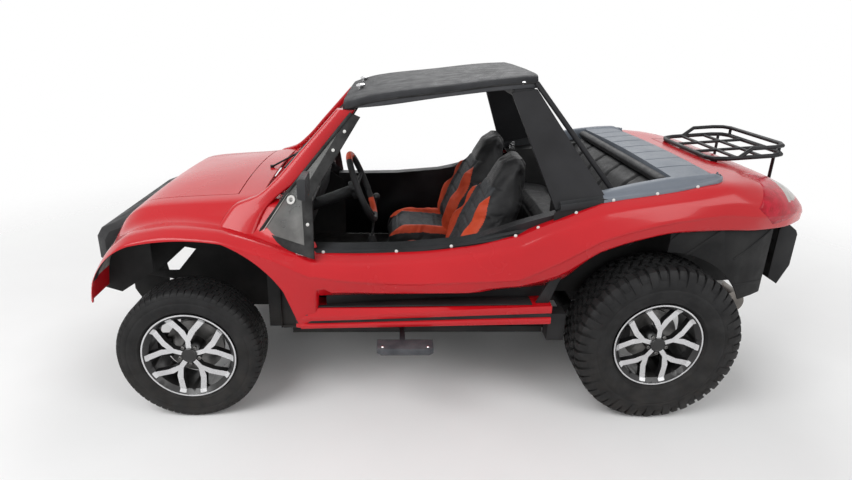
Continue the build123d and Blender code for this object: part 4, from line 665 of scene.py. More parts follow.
for share, inset, low, edge, crown in zip(fine_share, *roof_lines):
    x, half = ROOF_FRONT + ROOF_LENGTH * share, ROOF_HALF - inset - 0.045 * max(0, 1 - share / 0.05) ** 2
    skin_rows.append((x, half, low, edge, crown))
    section = [(half - 0.014, low), (half - 0.002, low), (half, low + 0.002)]
    section += [(half + 0.001, edge - 0.012), (half - 0.004, edge - 0.004), (half - 0.014, edge - 0.004)]
    rail_rows.append([(x, y, z) for y, z in section])
pair("roof_rail", "roof_vinyl", rail_rows, roof_grey, angle=50)
for word, x, inward, number in (("front", -0.514, 0.012, 0), ("rear", 0.332, -0.012, -1)):
    _, half, low, edge, crown = skin_rows[number]
    rows = []
    for y in np.linspace(-half + 0.012, half - 0.012, 32):
        top = crown - (crown - edge) * (y / half) ** 2 - 0.006
        rows.append([(x, y, low), (x, y, top), (x + inward, y, top), (x + inward, y, low)])
    solid("roof_rail_" + word, "roof_vinyl", rows, roof_grey, angle=50)
rows = []
for x, half, low, edge, crown in skin_rows:
    corners = [(-half - 0.002, edge - 0.026), (-half - 0.003, edge + 0.001)]
    corners += [(-half + 0.045, edge + 0.010), (0, crown + 0.0035)]
    line = rounded([Vector((x, y, z)) for y, z in corners], (0.42, 0.40), 6)
    bowed = []
    for t in (0.15, 0.3, 0.45, 0.6, 0.75, 0.88):
        y = (line[-2] + (line[-1] - line[-2]) * t).y
        bowed.append(Vector((x, y, edge + 0.0095 + (crown - edge - 0.006) * (1 - (y / half) ** 2))))
    left = line[:-1] + bowed + line[-1:]
    rows.append(left + [on_side(-1, p) for p in left[-2::-1]])
front_turn = [p + Vector((-0.003, 0, -0.024)) for p in rows[0]]
rear_turn = [p + Vector((0.003, 0, -0.020)) for p in rows[-1]]
skin = piece("roof_skin", "roof_vinyl", grid([front_turn] + rows + [rear_turn]), vinyl, angle=70)
if max(skin.data.polygons, key=lambda f: f.center.z).normal.z < 0:
    skin.data.flip_normals()
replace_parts(skin, "roof")
for side, word in SIDES:
    welt = [(x, side * (half + 0.0035), edge - 0.026) for x, half, low, edge, crown in skin_rows]
    bar("roof_welt_" + word, "roof_vinyl", welt, 0.0035, rubber, sides=8)

# Studs, screws and knobs: white nylon press studs hold the trim's edge, round-headed screws the
# roof's flange, and two bright knobs its front edge; all are set in rows.
nylon = surface("white_nylon", (0.62, 0.62, 0.60), (0.72, 0.72, 0.70), (0.35, 0.5), 60, bump=0.05, grain=300)
chrome = surface(
    "bright_steel", (0.62, 0.62, 0.63), (0.72, 0.72, 0.73), (0.12, 0.28), 40, metal=1, bump=0.03, grain=300
)


def lathe(profile, sides=20, capped=True):
    """Form turned round the z axis from (radius, height) points."""
    turns = [2 * pi * n / sides for n in range(sides)]
    return grid([[(r * cos(a), r * sin(a), z) for a in turns] for r, z in profile], around=True, ends=capped)


def spread(name, form, points, turns, material, body="chassis", angle=35):
    """The form at each point with its turn, by Geometry Nodes, then made a plain mesh."""
    small = piece("small", None, form, material, body=None, angle=angle)
    mesh = bpy.data.meshes.new(name)
    mesh.from_pydata([tuple(point) for point in points], [], [])
    turned = mesh.attributes.new("turn", "FLOAT_VECTOR", "POINT")
    turned.data.foreach_set("vector", [value for turn in turns for value in turn])
    obj = bpy.data.objects.new(name, mesh)
    bpy.context.collection.objects.link(obj)
    tree = bpy.data.node_groups.new(name, "GeometryNodeTree")
    kinds = (("Points", "Geometry"), ("Form", "Object"), ("Finish", "Material"))
    sockets = []
    for title, kind in kinds:
        sockets.append(tree.interface.new_socket(title, in_out="INPUT", socket_type="NodeSocket" + kind))
    tree.interface.new_socket("Geometry", in_out="OUTPUT", socket_type="NodeSocketGeometry")
    enter = tree.nodes.new("NodeGroupInput").outputs
    source = wired(tree, "GeometryNodeObjectInfo", {"Object": enter["Form"]})
    named = wired(tree, "GeometryNodeInputNamedAttribute", {"Name": "turn"}, data_type="FLOAT_VECTOR")
    euler = wired(tree, "FunctionNodeEulerToRotation", {0: named.outputs["Attribute"]})
    inputs = {"Points": enter["Points"], "Instance": source.outputs["Geometry"], "Rotation": euler.outputs[0]}
    place = wired(tree, "GeometryNodeInstanceOnPoints", inputs)
    real = wired(tree, "GeometryNodeRealizeInstances", {0: place.outputs[0]})
    paint = wired(tree, "GeometryNodeSetMaterial", {"Geometry": real.outputs[0], "Material": enter["Finish"]})
    wired(tree, "NodeGroupOutput", {0: paint.outputs[0]})
    step = obj.modifiers.new("repeat", "NODES")
    step.node_group = tree
    step[sockets[1].identifier], step[sockets[2].identifier] = small, material
    settle(obj)
    bpy.data.objects.remove(small)
    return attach(obj, body)


def repeated(name, form, places, material, body="chassis", angle=35):
    """Copies of a small form at the places (position, direction it points in)."""
    turns = [Vector(direction).to_track_quat("Z", "Y").to_euler() for _, direction in places]
    return spread(name, form, [point for point, _ in places], turns, material, body, angle)


STUD = [(0.0075, -0.001), (0.0075, 0.001), (0.006, 0.0022), (0.0045, 0.0045), (0.002, 0.0055)]
# columns: x, distance from the middle, z
TRIM_STUDS = [
    (-0.593, 0.7205, 0.803),
    (-0.281, 0.7205, 0.809),
    (-0.045, 0.7205, 0.834),
    (0.231, 0.7205, 0.884),
    (0.326, 0.7205, 0.922),
    (0.485, 0.719, 0.990),
    (0.642, 0.713, 1.046),
    (0.833, 0.705, 1.075),
    (1.011, 0.694, 1.105),
]
studs = [(on_side(side, place), (0, side, 0)) for place in TRIM_STUDS for side in (-1, 1)]
repeated("trim_studs", lathe(STUD), studs, nylon)
KNOB = [
    (0.016, -0.002), (0.016, 0.004), (0.011, 0.007), (0.012, 0.014),
    (0.022, 0.020), (0.022, 0.026), (0.014, 0.031), (0.004, 0.032),
]
KNOB_X = -0.450
crown = float(np.interp((KNOB_X - ROOF_FRONT) / ROOF_LENGTH, fine_share, roof_lines[3]))
knobs = [((KNOB_X, side * 0.205, crown - 0.006), (-0.1, 0, 1)) for side in (-1, 1)]
repeated("roof_knobs", lathe(KNOB), knobs, chrome)
SCREW = [(0.009, -0.001), (0.009, 0.0015), (0.006, 0.004), (0.002, 0.005)]
screws = [((0.270, side * 0.4565, 1.500), (0, side, 0)) for side in (-1, 1)]
repeated("roof_screws", lathe(SCREW), screws, chrome)

# Targa hoop: two flat sheet legs leaning in to the roof, folded from steel and painted matt
# black, a beam across under the roof and a round stay behind each leg.
hoop_black = surface(
    "hoop_matt_black", (0.014, 0.014, 0.015), (0.022, 0.022, 0.024), (0.55, 0.72), 4, bump=0.06, grain=900
)
dressed("targa_hoop", "black_paint", 0.003, hoop_black)

# Cabin liner: black moulded inner panels with a rolled padded trim on the rim of the body,
# pressed over the edge and held by studs.
trim_black = surface(
    "trim_vinyl", (0.013, 0.014, 0.015), (0.022, 0.023, 0.025), (0.38, 0.55), 7, bump=0.30, grain=800, cells=True
)
liner = dressed("cabin_liner", "black_plastic", 0.004, trim_black)
work = bmesh.new()
work.from_mesh(liner.data)
# The pad beside the deck goes, because the deck's own moulding lies there
beside_deck = [
    v for v in work.verts
    if v.co.x > 0.405 and v.co.z > 0.995 and not (v.co.x < 0.4125 and abs(v.co.y) < 0.655)
]
bmesh.ops.delete(work, geom=beside_deck, context="VERTS")
bmesh.ops.holes_fill(work, edges=work.edges[:], sides=0)
dip(work.verts)
work.to_mesh(liner.data)
work.free()

# Rear deck: one blue-grey moulding round the rear bench, with a grooved panel behind it, a
# turned-down side and a lip that is studded to the body.
deck_blue = surface(
    "deck_plastic", (0.145, 0.165, 0.195), (0.180, 0.200, 0.230), (0.30, 0.46), 5, bump=0.22, grain=900, cells=True
)
RIM_LINE = [(0.411, 1.000), (0.591, 1.027), (0.758, 1.050), (0.928, 1.075), (1.150, 1.118)]
OUT_LINE = [(0.411, 0.720), (0.591, 0.715), (0.758, 0.708), (0.928, 0.698), (1.150, 0.680)]
TOP_LINE = [
    (0.411, 1.030), (0.500, 1.050), (0.591, 1.067), (0.758, 1.105),
    (0.928, 1.134), (1.030, 1.146), (1.100, 1.150), (1.150, 1.148),
]
DECK_START, DECK_END, DECK_CORNER, DECK_PITCH, HOOP_HEEL = 0.932, 1.147, 0.060, 0.150, 0.600


def at(line, x):
    """Value at x on a smooth line of (x, value) points."""
    return float(lines_through(line, np.array([x]))[0][0])


def deck_edge(x, shrink):
    """Outer half of the deck's section at x: lip, side and rounded edge, from below."""
    rim, out, top = at(RIM_LINE, x), at(OUT_LINE, x) - shrink, at(TOP_LINE, x)
    return [
        (out, rim - 0.004),
        (out + 0.001, rim + 0.016),
        (out - 0.003, rim + 0.023),
        (out - 0.014, rim + 0.026),
        (out - 0.020, rim + 0.034),
        (out - 0.023, top - 0.020),
        (out - 0.028, top - 0.008),
        (out - 0.038, top - 0.001),
        (out - 0.050, top),
    ]


rows = []
for x in np.linspace(0.415, DECK_START, 40):
    inner, top, rim = at(OUT_LINE, x) - 0.0745, at(TOP_LINE, x), at(RIM_LINE, x)
    section = deck_edge(x, 0) + [(inner + 0.006, top), (inner, top - 0.006), (inner, rim - 0.004)]
    rows.append([(x, y, z) for y, z in section])
for arm in pair("deck_arm", "deck_plastic", rows, deck_blue, trim_black, angle=40):
    for face in arm.data.polygons:
        face.material_index = 1 if face.center.x < HOOP_HEEL else 0
corner_x = DECK_END - DECK_CORNER
stations = list(np.linspace(DECK_START, corner_x, 14))
stations += [DECK_END - DECK_CORNER * (1 - sin(radians(a))) for a in range(8, 91, 8)] + [DECK_END]
rows = []
for x in stations:
    into = max(0.0, x - corner_x)
    shrink = DECK_CORNER - max(0.0, DECK_CORNER**2 - into**2) ** 0.5
    rim, top = at(RIM_LINE, x), at(TOP_LINE, x) - 0.020 * (into / DECK_CORNER) ** 3
    edge = [(y, min(z, top) if z > rim + 0.03 else z) for y, z in deck_edge(x, shrink)]
    flat_y, flat_z = edge[-1][0], edge[-1][1] - 0.010
    half = edge + [(flat_y - 0.012, flat_z + 0.006), (flat_y - 0.022, flat_z)]
    grooved = []
    for number in range(3, -4, -1):
        groove = number * DECK_PITCH
        for dy, dz in ((0.006, 0), (0.004, -0.005), (-0.004, -0.005), (-0.006, 0)):
            grooved.append((groove + dy, flat_z + dz + 0.012 * (1 - (groove / 0.6) ** 2)))
    rows.append([Vector((x, y, z)) for y, z in half + grooved + [(-y, z) for y, z in half[::-1]]])
wall = [Vector((DECK_END + 0.001, p.y, min(p.z, at(RIM_LINE, DECK_END) - 0.004))) for p in rows[-1]]
turned_down = [Vector((DECK_START + 0.0005, p.y, min(p.z, 1.070) if abs(p.y) < 0.63 else p.z)) for p in rows[0]]
deck = piece("rear_deck_panel", "deck_plastic", grid([turned_down] + rows + [wall]), deck_blue, angle=32)
if max(deck.data.polygons, key=lambda f: f.area * (abs(f.center.y) < 0.5)).normal.z < 0:
    deck.data.flip_normals()
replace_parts(deck, "rear_deck")

# Quarter windows: clear vinyl sheet, gone hazy, with black sewn hems, a pale piping on the
# pillar's side and an eyelet where the mirror's stalk comes through.
haze = surface(
    "hazy_vinyl", (0.075, 0.078, 0.076), (0.155, 0.155, 0.148), (0.12, 0.30), 9,
    bump=0.25, grain=18, also={"Alpha": 0.80},
)
piping = surface("pale_piping", (0.35, 0.35, 0.33), (0.45, 0.45, 0.43), (0.4, 0.55), 30, bump=0.1, grain=500)
# Front and rear edge of the sheet, from the foot to the top
PANE = [
    ((-0.888, 0.664, 0.840), (-0.622, 0.792, 0.798)),
    ((-0.748, 0.622, 1.034), (-0.640, 0.652, 1.028)),
    ((-0.470, 0.528, 1.372), (-0.436, 0.524, 1.356)),
]
PANE_OUT = (-0.35, 0.85, 0.4)
KINK, PANE_TOP, HEM_WIDTH, FOOT_SHARE = 0.38, 0.985, 0.045, 0.065


def pane_point(side, u, v, lift=0.0):
    """Point of the window: u from the front edge to the rear hem, v from the foot to the top."""
    low, high, share = (*PANE[:2], v / KINK) if v < KINK else (*PANE[1:], (v - KINK) / (1 - KINK))
    front, rear = (Vector(a).lerp(Vector(b), share) for a, b in zip(low, high))
    bulge = 0.008 * sin(pi * u) * sin(pi * min(1, v * 1.2))
    return on_side(side, front.lerp(rear, u) + Vector(PANE_OUT).normalized() * (bulge + lift))


def hem_share(v):
    """Share of the window's width that its rear hem takes at v."""
    return min(0.9, HEM_WIDTH / (pane_point(1, 1, v) - pane_point(1, 0, v)).length)


for side, word in SIDES:
    rows = []
    for v in np.linspace(0, PANE_TOP, 26):
        outer = [pane_point(side, u, v, 0.001) for u in np.linspace(0, 1, 16)]
        rows.append(outer + [pane_point(side, u, v, -0.001) for u in np.linspace(1, 0, 16)])
    pane = solid("quarter_window_" + word, "clear_vinyl", rows, haze, angle=40)
    for edge in ("rear", "foot"):
        rows = []
        for t in np.linspace(0, 1, 30):
            section = []
            for w, lift in ((0, -0.003), (0, 0.003), (0.5, 0.005), (1, 0.003), (1, -0.003)):
                u, v = (1 - w * hem_share(PANE_TOP * t), PANE_TOP * t) if edge == "rear" else (t, w * FOOT_SHARE)
                section.append(pane_point(side, u, v, lift))
            rows.append(section)
        solid("window_hem_" + edge + "_" + word, "clear_vinyl", rows, rubber, angle=50)
    front_line = [pane_point(side, 0.0, v, 0.003) for v in np.linspace(0.0, PANE_TOP, 20)]
    bar("window_welt_" + word, "clear_vinyl", front_line, 0.007, rubber, sides=8)
    inner_line = [pane_point(side, 0.045, v, 0.004) for v in np.linspace(0.02, 0.93, 20)]
    bar("window_piping_" + word, "clear_vinyl", inner_line, 0.0022, piping, sides=6)
    if side < 0:
        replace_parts(pane, "quarter_windows")
hem_studs, eyelets = [], []
for side, word in SIDES:
    outward = on_side(side, PANE_OUT)
    hem_studs += [(pane_point(side, 1 - hem_share(v) / 2, v, 0.006), outward) for v in (0.20, 0.38, 0.72, 0.86)]
    eyelets.append((pane_point(side, 0.30, 0.335, 0.003), outward))
repeated("window_studs", lathe(STUD), hem_studs, nylon)
EYELET = [(0.017, -0.002), (0.020, 0.001), (0.019, 0.004), (0.014, 0.005), (0.010, 0.003), (0.009, -0.002)]
repeated("window_eyelets", lathe(EYELET, 28), eyelets, nylon)

# Door mirrors: moulded plastic heads with soft corners, each screwed to a round stalk that
# comes out through the eyelet of its quarter window.
mirror_grey = surface(
    "mirror_plastic", (0.030, 0.031, 0.033), (0.045, 0.046, 0.048), (0.4, 0.6), 12, bump=0.2, grain=700, cells=True
)
dressed("mirrors", "black_plastic", 0.005, mirror_grey)

# Wheels: cast alloy rims with five Y spokes, turned bright on their faces and black in between,
# each with a bright lip ring, five bolts round a plain cap, and a steel brake disc behind.
# The tyres are moulded rubber, of a road pattern in front and a mud pattern behind.
alloy_black = surface(
    "rim_gloss_black", (0.006, 0.006, 0.0065), (0.011, 0.011, 0.012), (0.26, 0.40), 8,
    coat=0.08, bump=0.03, grain=200, dust=0.04,
)
alloy_face = surface(
    "rim_machined", (0.58, 0.58, 0.59), (0.66, 0.66, 0.67), (0.22, 0.36), 18, metal=1, bump=0.04, grain=900
)
disc_steel = surface(
    "brake_steel", (0.12, 0.118, 0.115), (0.20, 0.195, 0.19), (0.30, 0.45), 25, metal=1, bump=0.1, grain=400
)
tread_rubber = surface(
    "tyre_rubber", (0.010, 0.010, 0.0105), (0.019, 0.019, 0.0195), (0.50, 0.72), 14, bump=0.20, grain=500, dust=0.08
)


def together(*forms):
    """Several (vertices, faces) forms as one."""
    verts, faces = [], []
    for form_verts, form_faces in forms:
        faces += [tuple(i + len(verts) for i in face) for face in form_faces]
        verts += form_verts
    return verts, faces


def tread_block(stations, turn):
    """Block of tread from rows of (y, half length, shift, low radius, top radius)."""
    rows, spin = [], Matrix.Rotation(turn, 3, "Y")
    for y, half, shift, low, top in stations:
        cut = min(0.0025, half * 0.3)
        section = [(-half, low), (-half, top - cut), (-half + cut, top)]
        section += [(half - cut, top), (half, top - cut), (half, low)]
        rows.append([spin @ Vector((shift + a, y, r)) for a, r in section])
    return grid(rows, around=True, ends=True)


def tread_pitch(blocks, pitches, stagger, side):
    """One pitch of the tread on one side; each block comes with its share of the pitch."""
    parts = []
    for share, rows in blocks:
        turned = [(side * y, half, side * shift, low, top) for y, half, shift, low, top in rows]
        parts.append(tread_block(turned, 2 * pi / pitches * (share + (stagger if side > 0 else 0))))
    return together(*parts)


# Half outlines of the tyres, (distance from the middle, radius), from the bead to the tread's base
ROAD_TYRE = [
    (0.0777, 0.1903),
    (0.0777, 0.2073),
    (0.086, 0.212),
    (0.0925, 0.219),
    (0.0940, 0.2205),
    (0.0935, 0.2225),
    (0.0955, 0.228),
    (0.0985, 0.240),
    (0.0998, 0.252),
    (0.0995, 0.262),
    (0.0982, 0.2635),
    (0.0982, 0.2665),
    (0.0990, 0.268),
    (0.0975, 0.280),
    (0.0945, 0.290),
    (0.0915, 0.297),
    (0.0880, 0.303),
    (0.0800, 0.3075),
    (0.0600, 0.3090),
]
MUD_TYRE = [
    (0.0907, 0.1903),
    (0.0907, 0.2073),
    (0.100, 0.213),
    (0.112, 0.222),
    (0.1145, 0.2235),
    (0.1140, 0.226),
    (0.121, 0.238),
    (0.128, 0.256),
    (0.1320, 0.276),
    (0.1322, 0.288),
    (0.1305, 0.290),
    (0.1305, 0.294),
    (0.1318, 0.296),
    (0.1300, 0.312),
    (0.1265, 0.326),
    (0.1220, 0.340),
    (0.1170, 0.352),
    (0.1110, 0.362),
    (0.0980, 0.3690),
    (0.0600, 0.3710),
]
ROAD_BLOCKS = [
    (0, [
        (0.060, 0.0137, 0.000, 0.305, 0.3165),
        (0.078, 0.0135, 0.001, 0.302, 0.3145),
        (0.088, 0.0128, 0.002, 0.298, 0.3085),
        (0.0945, 0.0115, 0.003, 0.287, 0.2960),
    ]),
    (0.5, [(0.031, 0.0140, -0.003, 0.305, 0.3170), (0.055, 0.0140, 0.001, 0.305, 0.3170)]),
    (0, [(0.0015, 0.0141, -0.002, 0.305, 0.3170), (0.023, 0.0141, 0.001, 0.305, 0.3170)]),
]
LONG_LUG = [
    (0.066, 0.0150, 0.004, 0.366, 0.3840),
    (0.094, 0.0170, 0.001, 0.364, 0.3835),
    (0.112, 0.0175, 0.000, 0.355, 0.3770),
    (0.1205, 0.0175, 0.000, 0.342, 0.3640),
    (0.1290, 0.0160, 0.000, 0.322, 0.3400),
    (0.1325, 0.0140, 0.000, 0.306, 0.3180),
]
SHORT_LUG = [
    (0.074, 0.0130, -0.003, 0.366, 0.3835),
    (0.096, 0.0150, 0.000, 0.364, 0.3825),
    (0.111, 0.0155, 0.000, 0.356, 0.3755),
    (0.1190, 0.0150, 0.000, 0.345, 0.3620),
    (0.1240, 0.0130, 0.000, 0.336, 0.3500),
]
OUTER_BLOCK = [(0.034, 0.0150, 0.006, 0.366, 0.3840), (0.060, 0.0150, -0.002, 0.366, 0.3840)]
INNER_BLOCK = [(0.003, 0.0160, -0.006, 0.366, 0.3840), (0.029, 0.0140, 0.003, 0.366, 0.3840)]
MUD_BLOCKS = [
    (0, LONG_LUG), (0.5, SHORT_LUG), (0.24, OUTER_BLOCK), (0.76, OUTER_BLOCK),
    (0.02, INNER_BLOCK), (0.52, INNER_BLOCK),
]
# Outline, blocks, number of pitches and stagger of the right half by each kind of tyre
ROAD, MUD = (ROAD_TYRE, ROAD_BLOCKS, 66, 0), (MUD_TYRE, MUD_BLOCKS, 26, 0.25)
LIP = [(0.1985, -0.0125), (0.1985, -0.0015), (0.2000, 0.0002), (0.2062, 0.0002), (0.2068, -0.001)]
BOLT = [(0.0085, -0.006), (0.0085, 0.004), (0.0070, 0.0055), (0.0045, 0.0055), (0.0042, 0.0020)]
CAP = [
    (0.034, -0.004), (0.034, 0.001), (0.032, 0.003), (0.027, 0.0035),
    (0.026, 0.0025), (0.020, 0.0035), (0.008, 0.0045),
]
# Corners of a spoke's end: distance from the axle, distance across, depth behind the rim's face
SPOKE_END = [
    (0.179, -0.0140, 0.0112), (0.2005, -0.0150, -0.0006),
    (0.2005, 0.0150, -0.0006), (0.179, 0.0140, 0.0112),
]
FORK_TURN, SPOKE_TURN, BOLT_TURN, BOLT_RADIUS = 22, 90, 126, 0.044
FACE_DEPTH, CAP_RADIUS, DISC_RADIUS = 0.012, 0.034, 0.130
# columns: name, side, axle x, wheel y, tyre radius, rim half width, kind of tyre
WHEELS = [
    ("front_left", -1, FRONT_AXLE_X, 0.670, 0.317, 0.090, ROAD),
    ("front_right", 1, FRONT_AXLE_X, 0.670, 0.317, 0.090, ROAD),
    ("rear_left", -1, REAR_AXLE_X, 0.692, 0.384, 0.103, MUD),
    ("rear_right", 1, REAR_AXLE_X, 0.692, 0.384, 0.103, MUD),
]
for word, side, wheel_x, wheel_y, radius, half, (outline, blocks, pitches, stagger) in WHEELS:
    body, centre, out = "wheel_" + word, Vector((wheel_x, side * wheel_y, radius)), Vector((0, side, 0))
    profile = outline + [(-y, r) for y, r in outline[::-1]]
    rows = []
    for number in range(121):
        turn = 2 * pi * number / 120
        rows.append([centre + Vector((r * sin(turn), y, r * cos(turn))) for y, r in profile])
    carcass = piece("carcass_" + word, "tyre", grid(rows, around=True), tread_rubber, body=body, angle=50)
    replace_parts(carcass, "tyre_" + word)
    turns = [(0, 2 * pi * number / pitches, 0) for number in range(pitches)]
    for hand, where in SIDES:
        small = tread_pitch(blocks, pitches, stagger, hand)
        spread("tread_" + where + "_" + word, small, [centre] * pitches, turns, tread_rubber, body, angle=30)
    rim = dressed("rim_" + word, "alloy", 0, alloy_black, alloy_face, disc_steel, body=body, angle=30)
    face_y, disc_y = wheel_y + half - FACE_DEPTH, wheel_y - 0.006
    for face in rim.data.polygons:
        reach = np.hypot(face.center.x - centre.x, face.center.z - centre.z)
        y = side * face.center.y
        if face.normal.y * side > 0.85 and abs(y - face_y) < 0.0035 and reach > CAP_RADIUS:
            face.material_index = 1
        elif reach < DISC_RADIUS and y < disc_y:
            face.material_index = 2
    bolts = []
    for number in range(5):
        turn = radians(BOLT_TURN + 72 * number)
        way = Vector((cos(turn), 0, sin(turn)))
        bolts.append((centre + BOLT_RADIUS * way + out * (half - 0.014), out))
    repeated("wheel_bolts_" + word, lathe(BOLT, 12), bolts, disc_steel, body, angle=30)
    ring = lathe(LIP, 120, capped=False)
    repeated("wheel_lip_" + word, ring, [(centre + out * half, out)], alloy_face, body, angle=30)
    ends = []
    for number in range(10):
        turn = radians(SPOKE_TURN + 72 * (number // 2) + (FORK_TURN if number % 2 else -FORK_TURN))
        reach, across = Vector((cos(turn), 0, sin(turn))), Vector((-sin(turn), 0, cos(turn)))
        corners = [centre + out * (half - sunk) + reach * r + across * w for r, w, sunk in SPOKE_END]
        ends.append(grid([[corner - out * 0.010 for corner in corners], corners], around=True, ends=True))
    piece("spoke_ends_" + word, "alloy", together(*ends), alloy_face, body=body)
    repeated("wheel_cap_" + word, lathe(CAP, 40), [(centre + out * (half - 0.008), out)], alloy_black, body)

# Lamps: the headlamps are plain clear lenses set flush in the nose, the tail lamps red mouldings
# with a clear reversing section in the upper rear corner; all follow the form of the body.
lens_clear = surface("lens_clear", (0.30, 0.28, 0.27), (0.48, 0.45, 0.42), (0.10, 0.22), 30, bump=0.04, grain=90)
lens_red = surface("lens_red", (0.34, 0.004, 0.014), (0.50, 0.010, 0.030), (0.15, 0.3), 30, bump=0.04, grain=90)
REVERSING_X, REVERSING_Z = 1.455, 1.030
for kind, node, slot, lens in (
    ("head", "headlamps", "lamp_clear", lens_clear),
    ("tail", "tail_lamps", "lamp_red", lens_red),
):
    lamps = combine(shells[kind + "_lens"], "INTERSECT", lamp_tool(kind))
    lamps.data.materials.clear()
    for material in (lens, lens_clear):
        lamps.data.materials.append(material)
    for face in lamps.data.polygons:
        face.material_index = int(kind == "tail" and face.center.z > REVERSING_Z and face.center.x > REVERSING_X)
    both_sides(lamps)
    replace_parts(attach(lamps, "chassis"), node)

# Bumpers, rack, steps and axles: folded and tubular steel, welded and powder coated black; the
# steps have grey grip pads with a stud at each corner.
coat_grey = surface(
    "black_worn_coat", (0.013, 0.013, 0.014), (0.024, 0.024, 0.025), (0.45, 0.7), 6, bump=0.2, grain=500, dust=0.10
)
pad_grey = surface(
    "step_pad_grey", (0.045, 0.048, 0.055), (0.080, 0.083, 0.090), (0.4, 0.6), 20, bump=0.4, grain=250
)
# columns: node, body, width of the rounded edge
STEEL = [
    ("front_bumper", "chassis", 0.003),
    ("rear_bumper", "chassis", 0.003),
    ("front_beam", "chassis", 0.002),
    ("rear_axle", "chassis", 0.002),
    ("knuckle_left", "knuckle_left", 0.0015),
    ("knuckle_right", "knuckle_right", 0.0015),
    ("track_rod", "track_rod", 0.001),
    ("sill_trims", "chassis", 0.002),
]
for node, body, bevel in STEEL:
    dressed(node, "black_paint", bevel, coat_grey, body=body)
dressed("luggage_rack", "black_paint", 0, black_steel, body="engine_lid", angle=40)
steps = dressed("side_steps", "black_paint", 0.003, pad_grey)
xs, ys, zs = zip(*steps.bound_box)
step_bolts = []
for x in (min(xs) + 0.025, max(xs) - 0.025):
    step_bolts += [((x, side * (max(ys) - 0.020), max(zs)), (0, 0, 1)) for side in (-1, 1)]
repeated("step_bolts", lathe(STUD), step_bolts, chrome)

# Inner panels and floor: black glass fibre mouldings and pressed steel, left in satin underbody
# paint, bolted and bonded together; flat panels close the gaps between them.
under_black = surface(
    "underbody_black", (0.008, 0.008, 0.0085), (0.018, 0.018, 0.018), (0.5, 0.75), 6, bump=0.3, grain=350, dust=0.15
)
for node in ("inner_fenders", "rear_quarters", "rear_tub"):
    dressed(node, "black_plastic", 0.003, under_black)
dressed("floor_pan", "black_paint", 0.002, under_black)
# columns: name, y, then the outline (x, z) of each flat closing panel
CLOSING = [
    ("nose_side", 0.600, [
        (-1.585, 0.585), (-1.575, 0.700), (-1.490, 0.790), (-1.360, 0.835), (-1.360, 0.660), (-1.510, 0.560),
    ]),
    ("footwell_side", 0.628, [
        (-0.858, 0.400), (-0.600, 0.400), (-0.600, 0.770), (-0.720, 0.850), (-0.858, 0.860),
    ]),
    ("luggage_side", 0.395, [
        (-1.545, 0.480), (-1.505, 0.405), (-1.400, 0.400), (-1.370, 0.560), (-1.405, 0.760), (-1.545, 0.760),
    ]),
    ("hoop_joint", 0.712, [
        (0.392, 0.930), (0.620, 0.990), (0.645, 1.045), (0.600, 1.052), (0.430, 1.015), (0.392, 0.985),
    ]),
    ("engine_side", 0.430, [(0.960, 0.520), (1.500, 0.560), (1.560, 0.900), (0.960, 0.960)]),
]
for title, y, outline in CLOSING:
    pair(title, "black_plastic", [[(x, y + t, z) for x, z in outline] for t in (-0.002, 0.002)], under_black)

# Engine and exhaust: a cast light-alloy block, bolted to the gearbox, and a welded mild-steel
# box with two tail pipes.
cast_grey = surface(
    "cast_alloy", (0.17, 0.17, 0.17), (0.26, 0.255, 0.25), (0.45, 0.65), 9, metal=0.8, bump=0.4, grain=300, dust=0.4
)
pipe_steel = surface(
    "pipe_steel", (0.16, 0.15, 0.14), (0.28, 0.26, 0.24), (0.4, 0.6), 9, metal=0.9, bump=0.2, grain=400, dust=0.3
)
dressed("engine", "engine_metal", 0.005, cast_grey)
dressed("exhaust", "exhaust_steel", 0.0015, pipe_steel)

# Dash, column, wheel and lever: black moulded plastic; the wheel's rim is wrapped in leather
# with an orange-red section at the top and another low on the right.
dash_black = surface(
    "dash_black", (0.013, 0.013, 0.014), (0.022, 0.022, 0.023), (0.42, 0.6), 8, bump=0.35, grain=700, cells=True
)
orange = surface(
    "orange_hide", (0.50, 0.055, 0.020), (0.60, 0.075, 0.028), (0.40, 0.55), 20, bump=0.30, grain=450, cells=True
)
for node, bevel in (("dash", 0.008), ("steering_column", 0.003), ("gear_lever", 0.003)):
    dressed(node, "black_plastic", bevel, dash_black)
wheel_rim = dressed("steering_wheel", "black_plastic", 0, dash_black, orange, body="steering_wheel", angle=50)
hub, lean = Vector((-0.445, -0.300, 0.980)), radians(21.3)
tilt, up = Vector((cos(lean), 0, sin(lean))), Vector((-sin(lean), 0, cos(lean)))
for face in wheel_rim.data.polygons:
    way = face.center - hub
    reach, turn = (way - tilt * way.dot(tilt)).length, np.degrees(np.arctan2(way.y, way.dot(up)))
    if reach > 0.145 and (abs(turn) < 24 or 128 < turn < 166):
        face.material_index = 1
# Bucket seats: foam shells covered in black hide, with orange-red bolsters and a grey ribbed
# insert; the covers are sewn at piped seams and pulled into the foam between the ribs.
seat_black = surface(
    "seat_hide_black", (0.016, 0.016, 0.017), (0.028, 0.028, 0.029), (0.40, 0.58), 12,
    bump=0.35, grain=450, cells=True,
)
seat_grey = surface(
    "seat_cloth_grey", (0.040, 0.042, 0.046), (0.062, 0.064, 0.068), (0.62, 0.8), 25, bump=0.35, grain=900
)
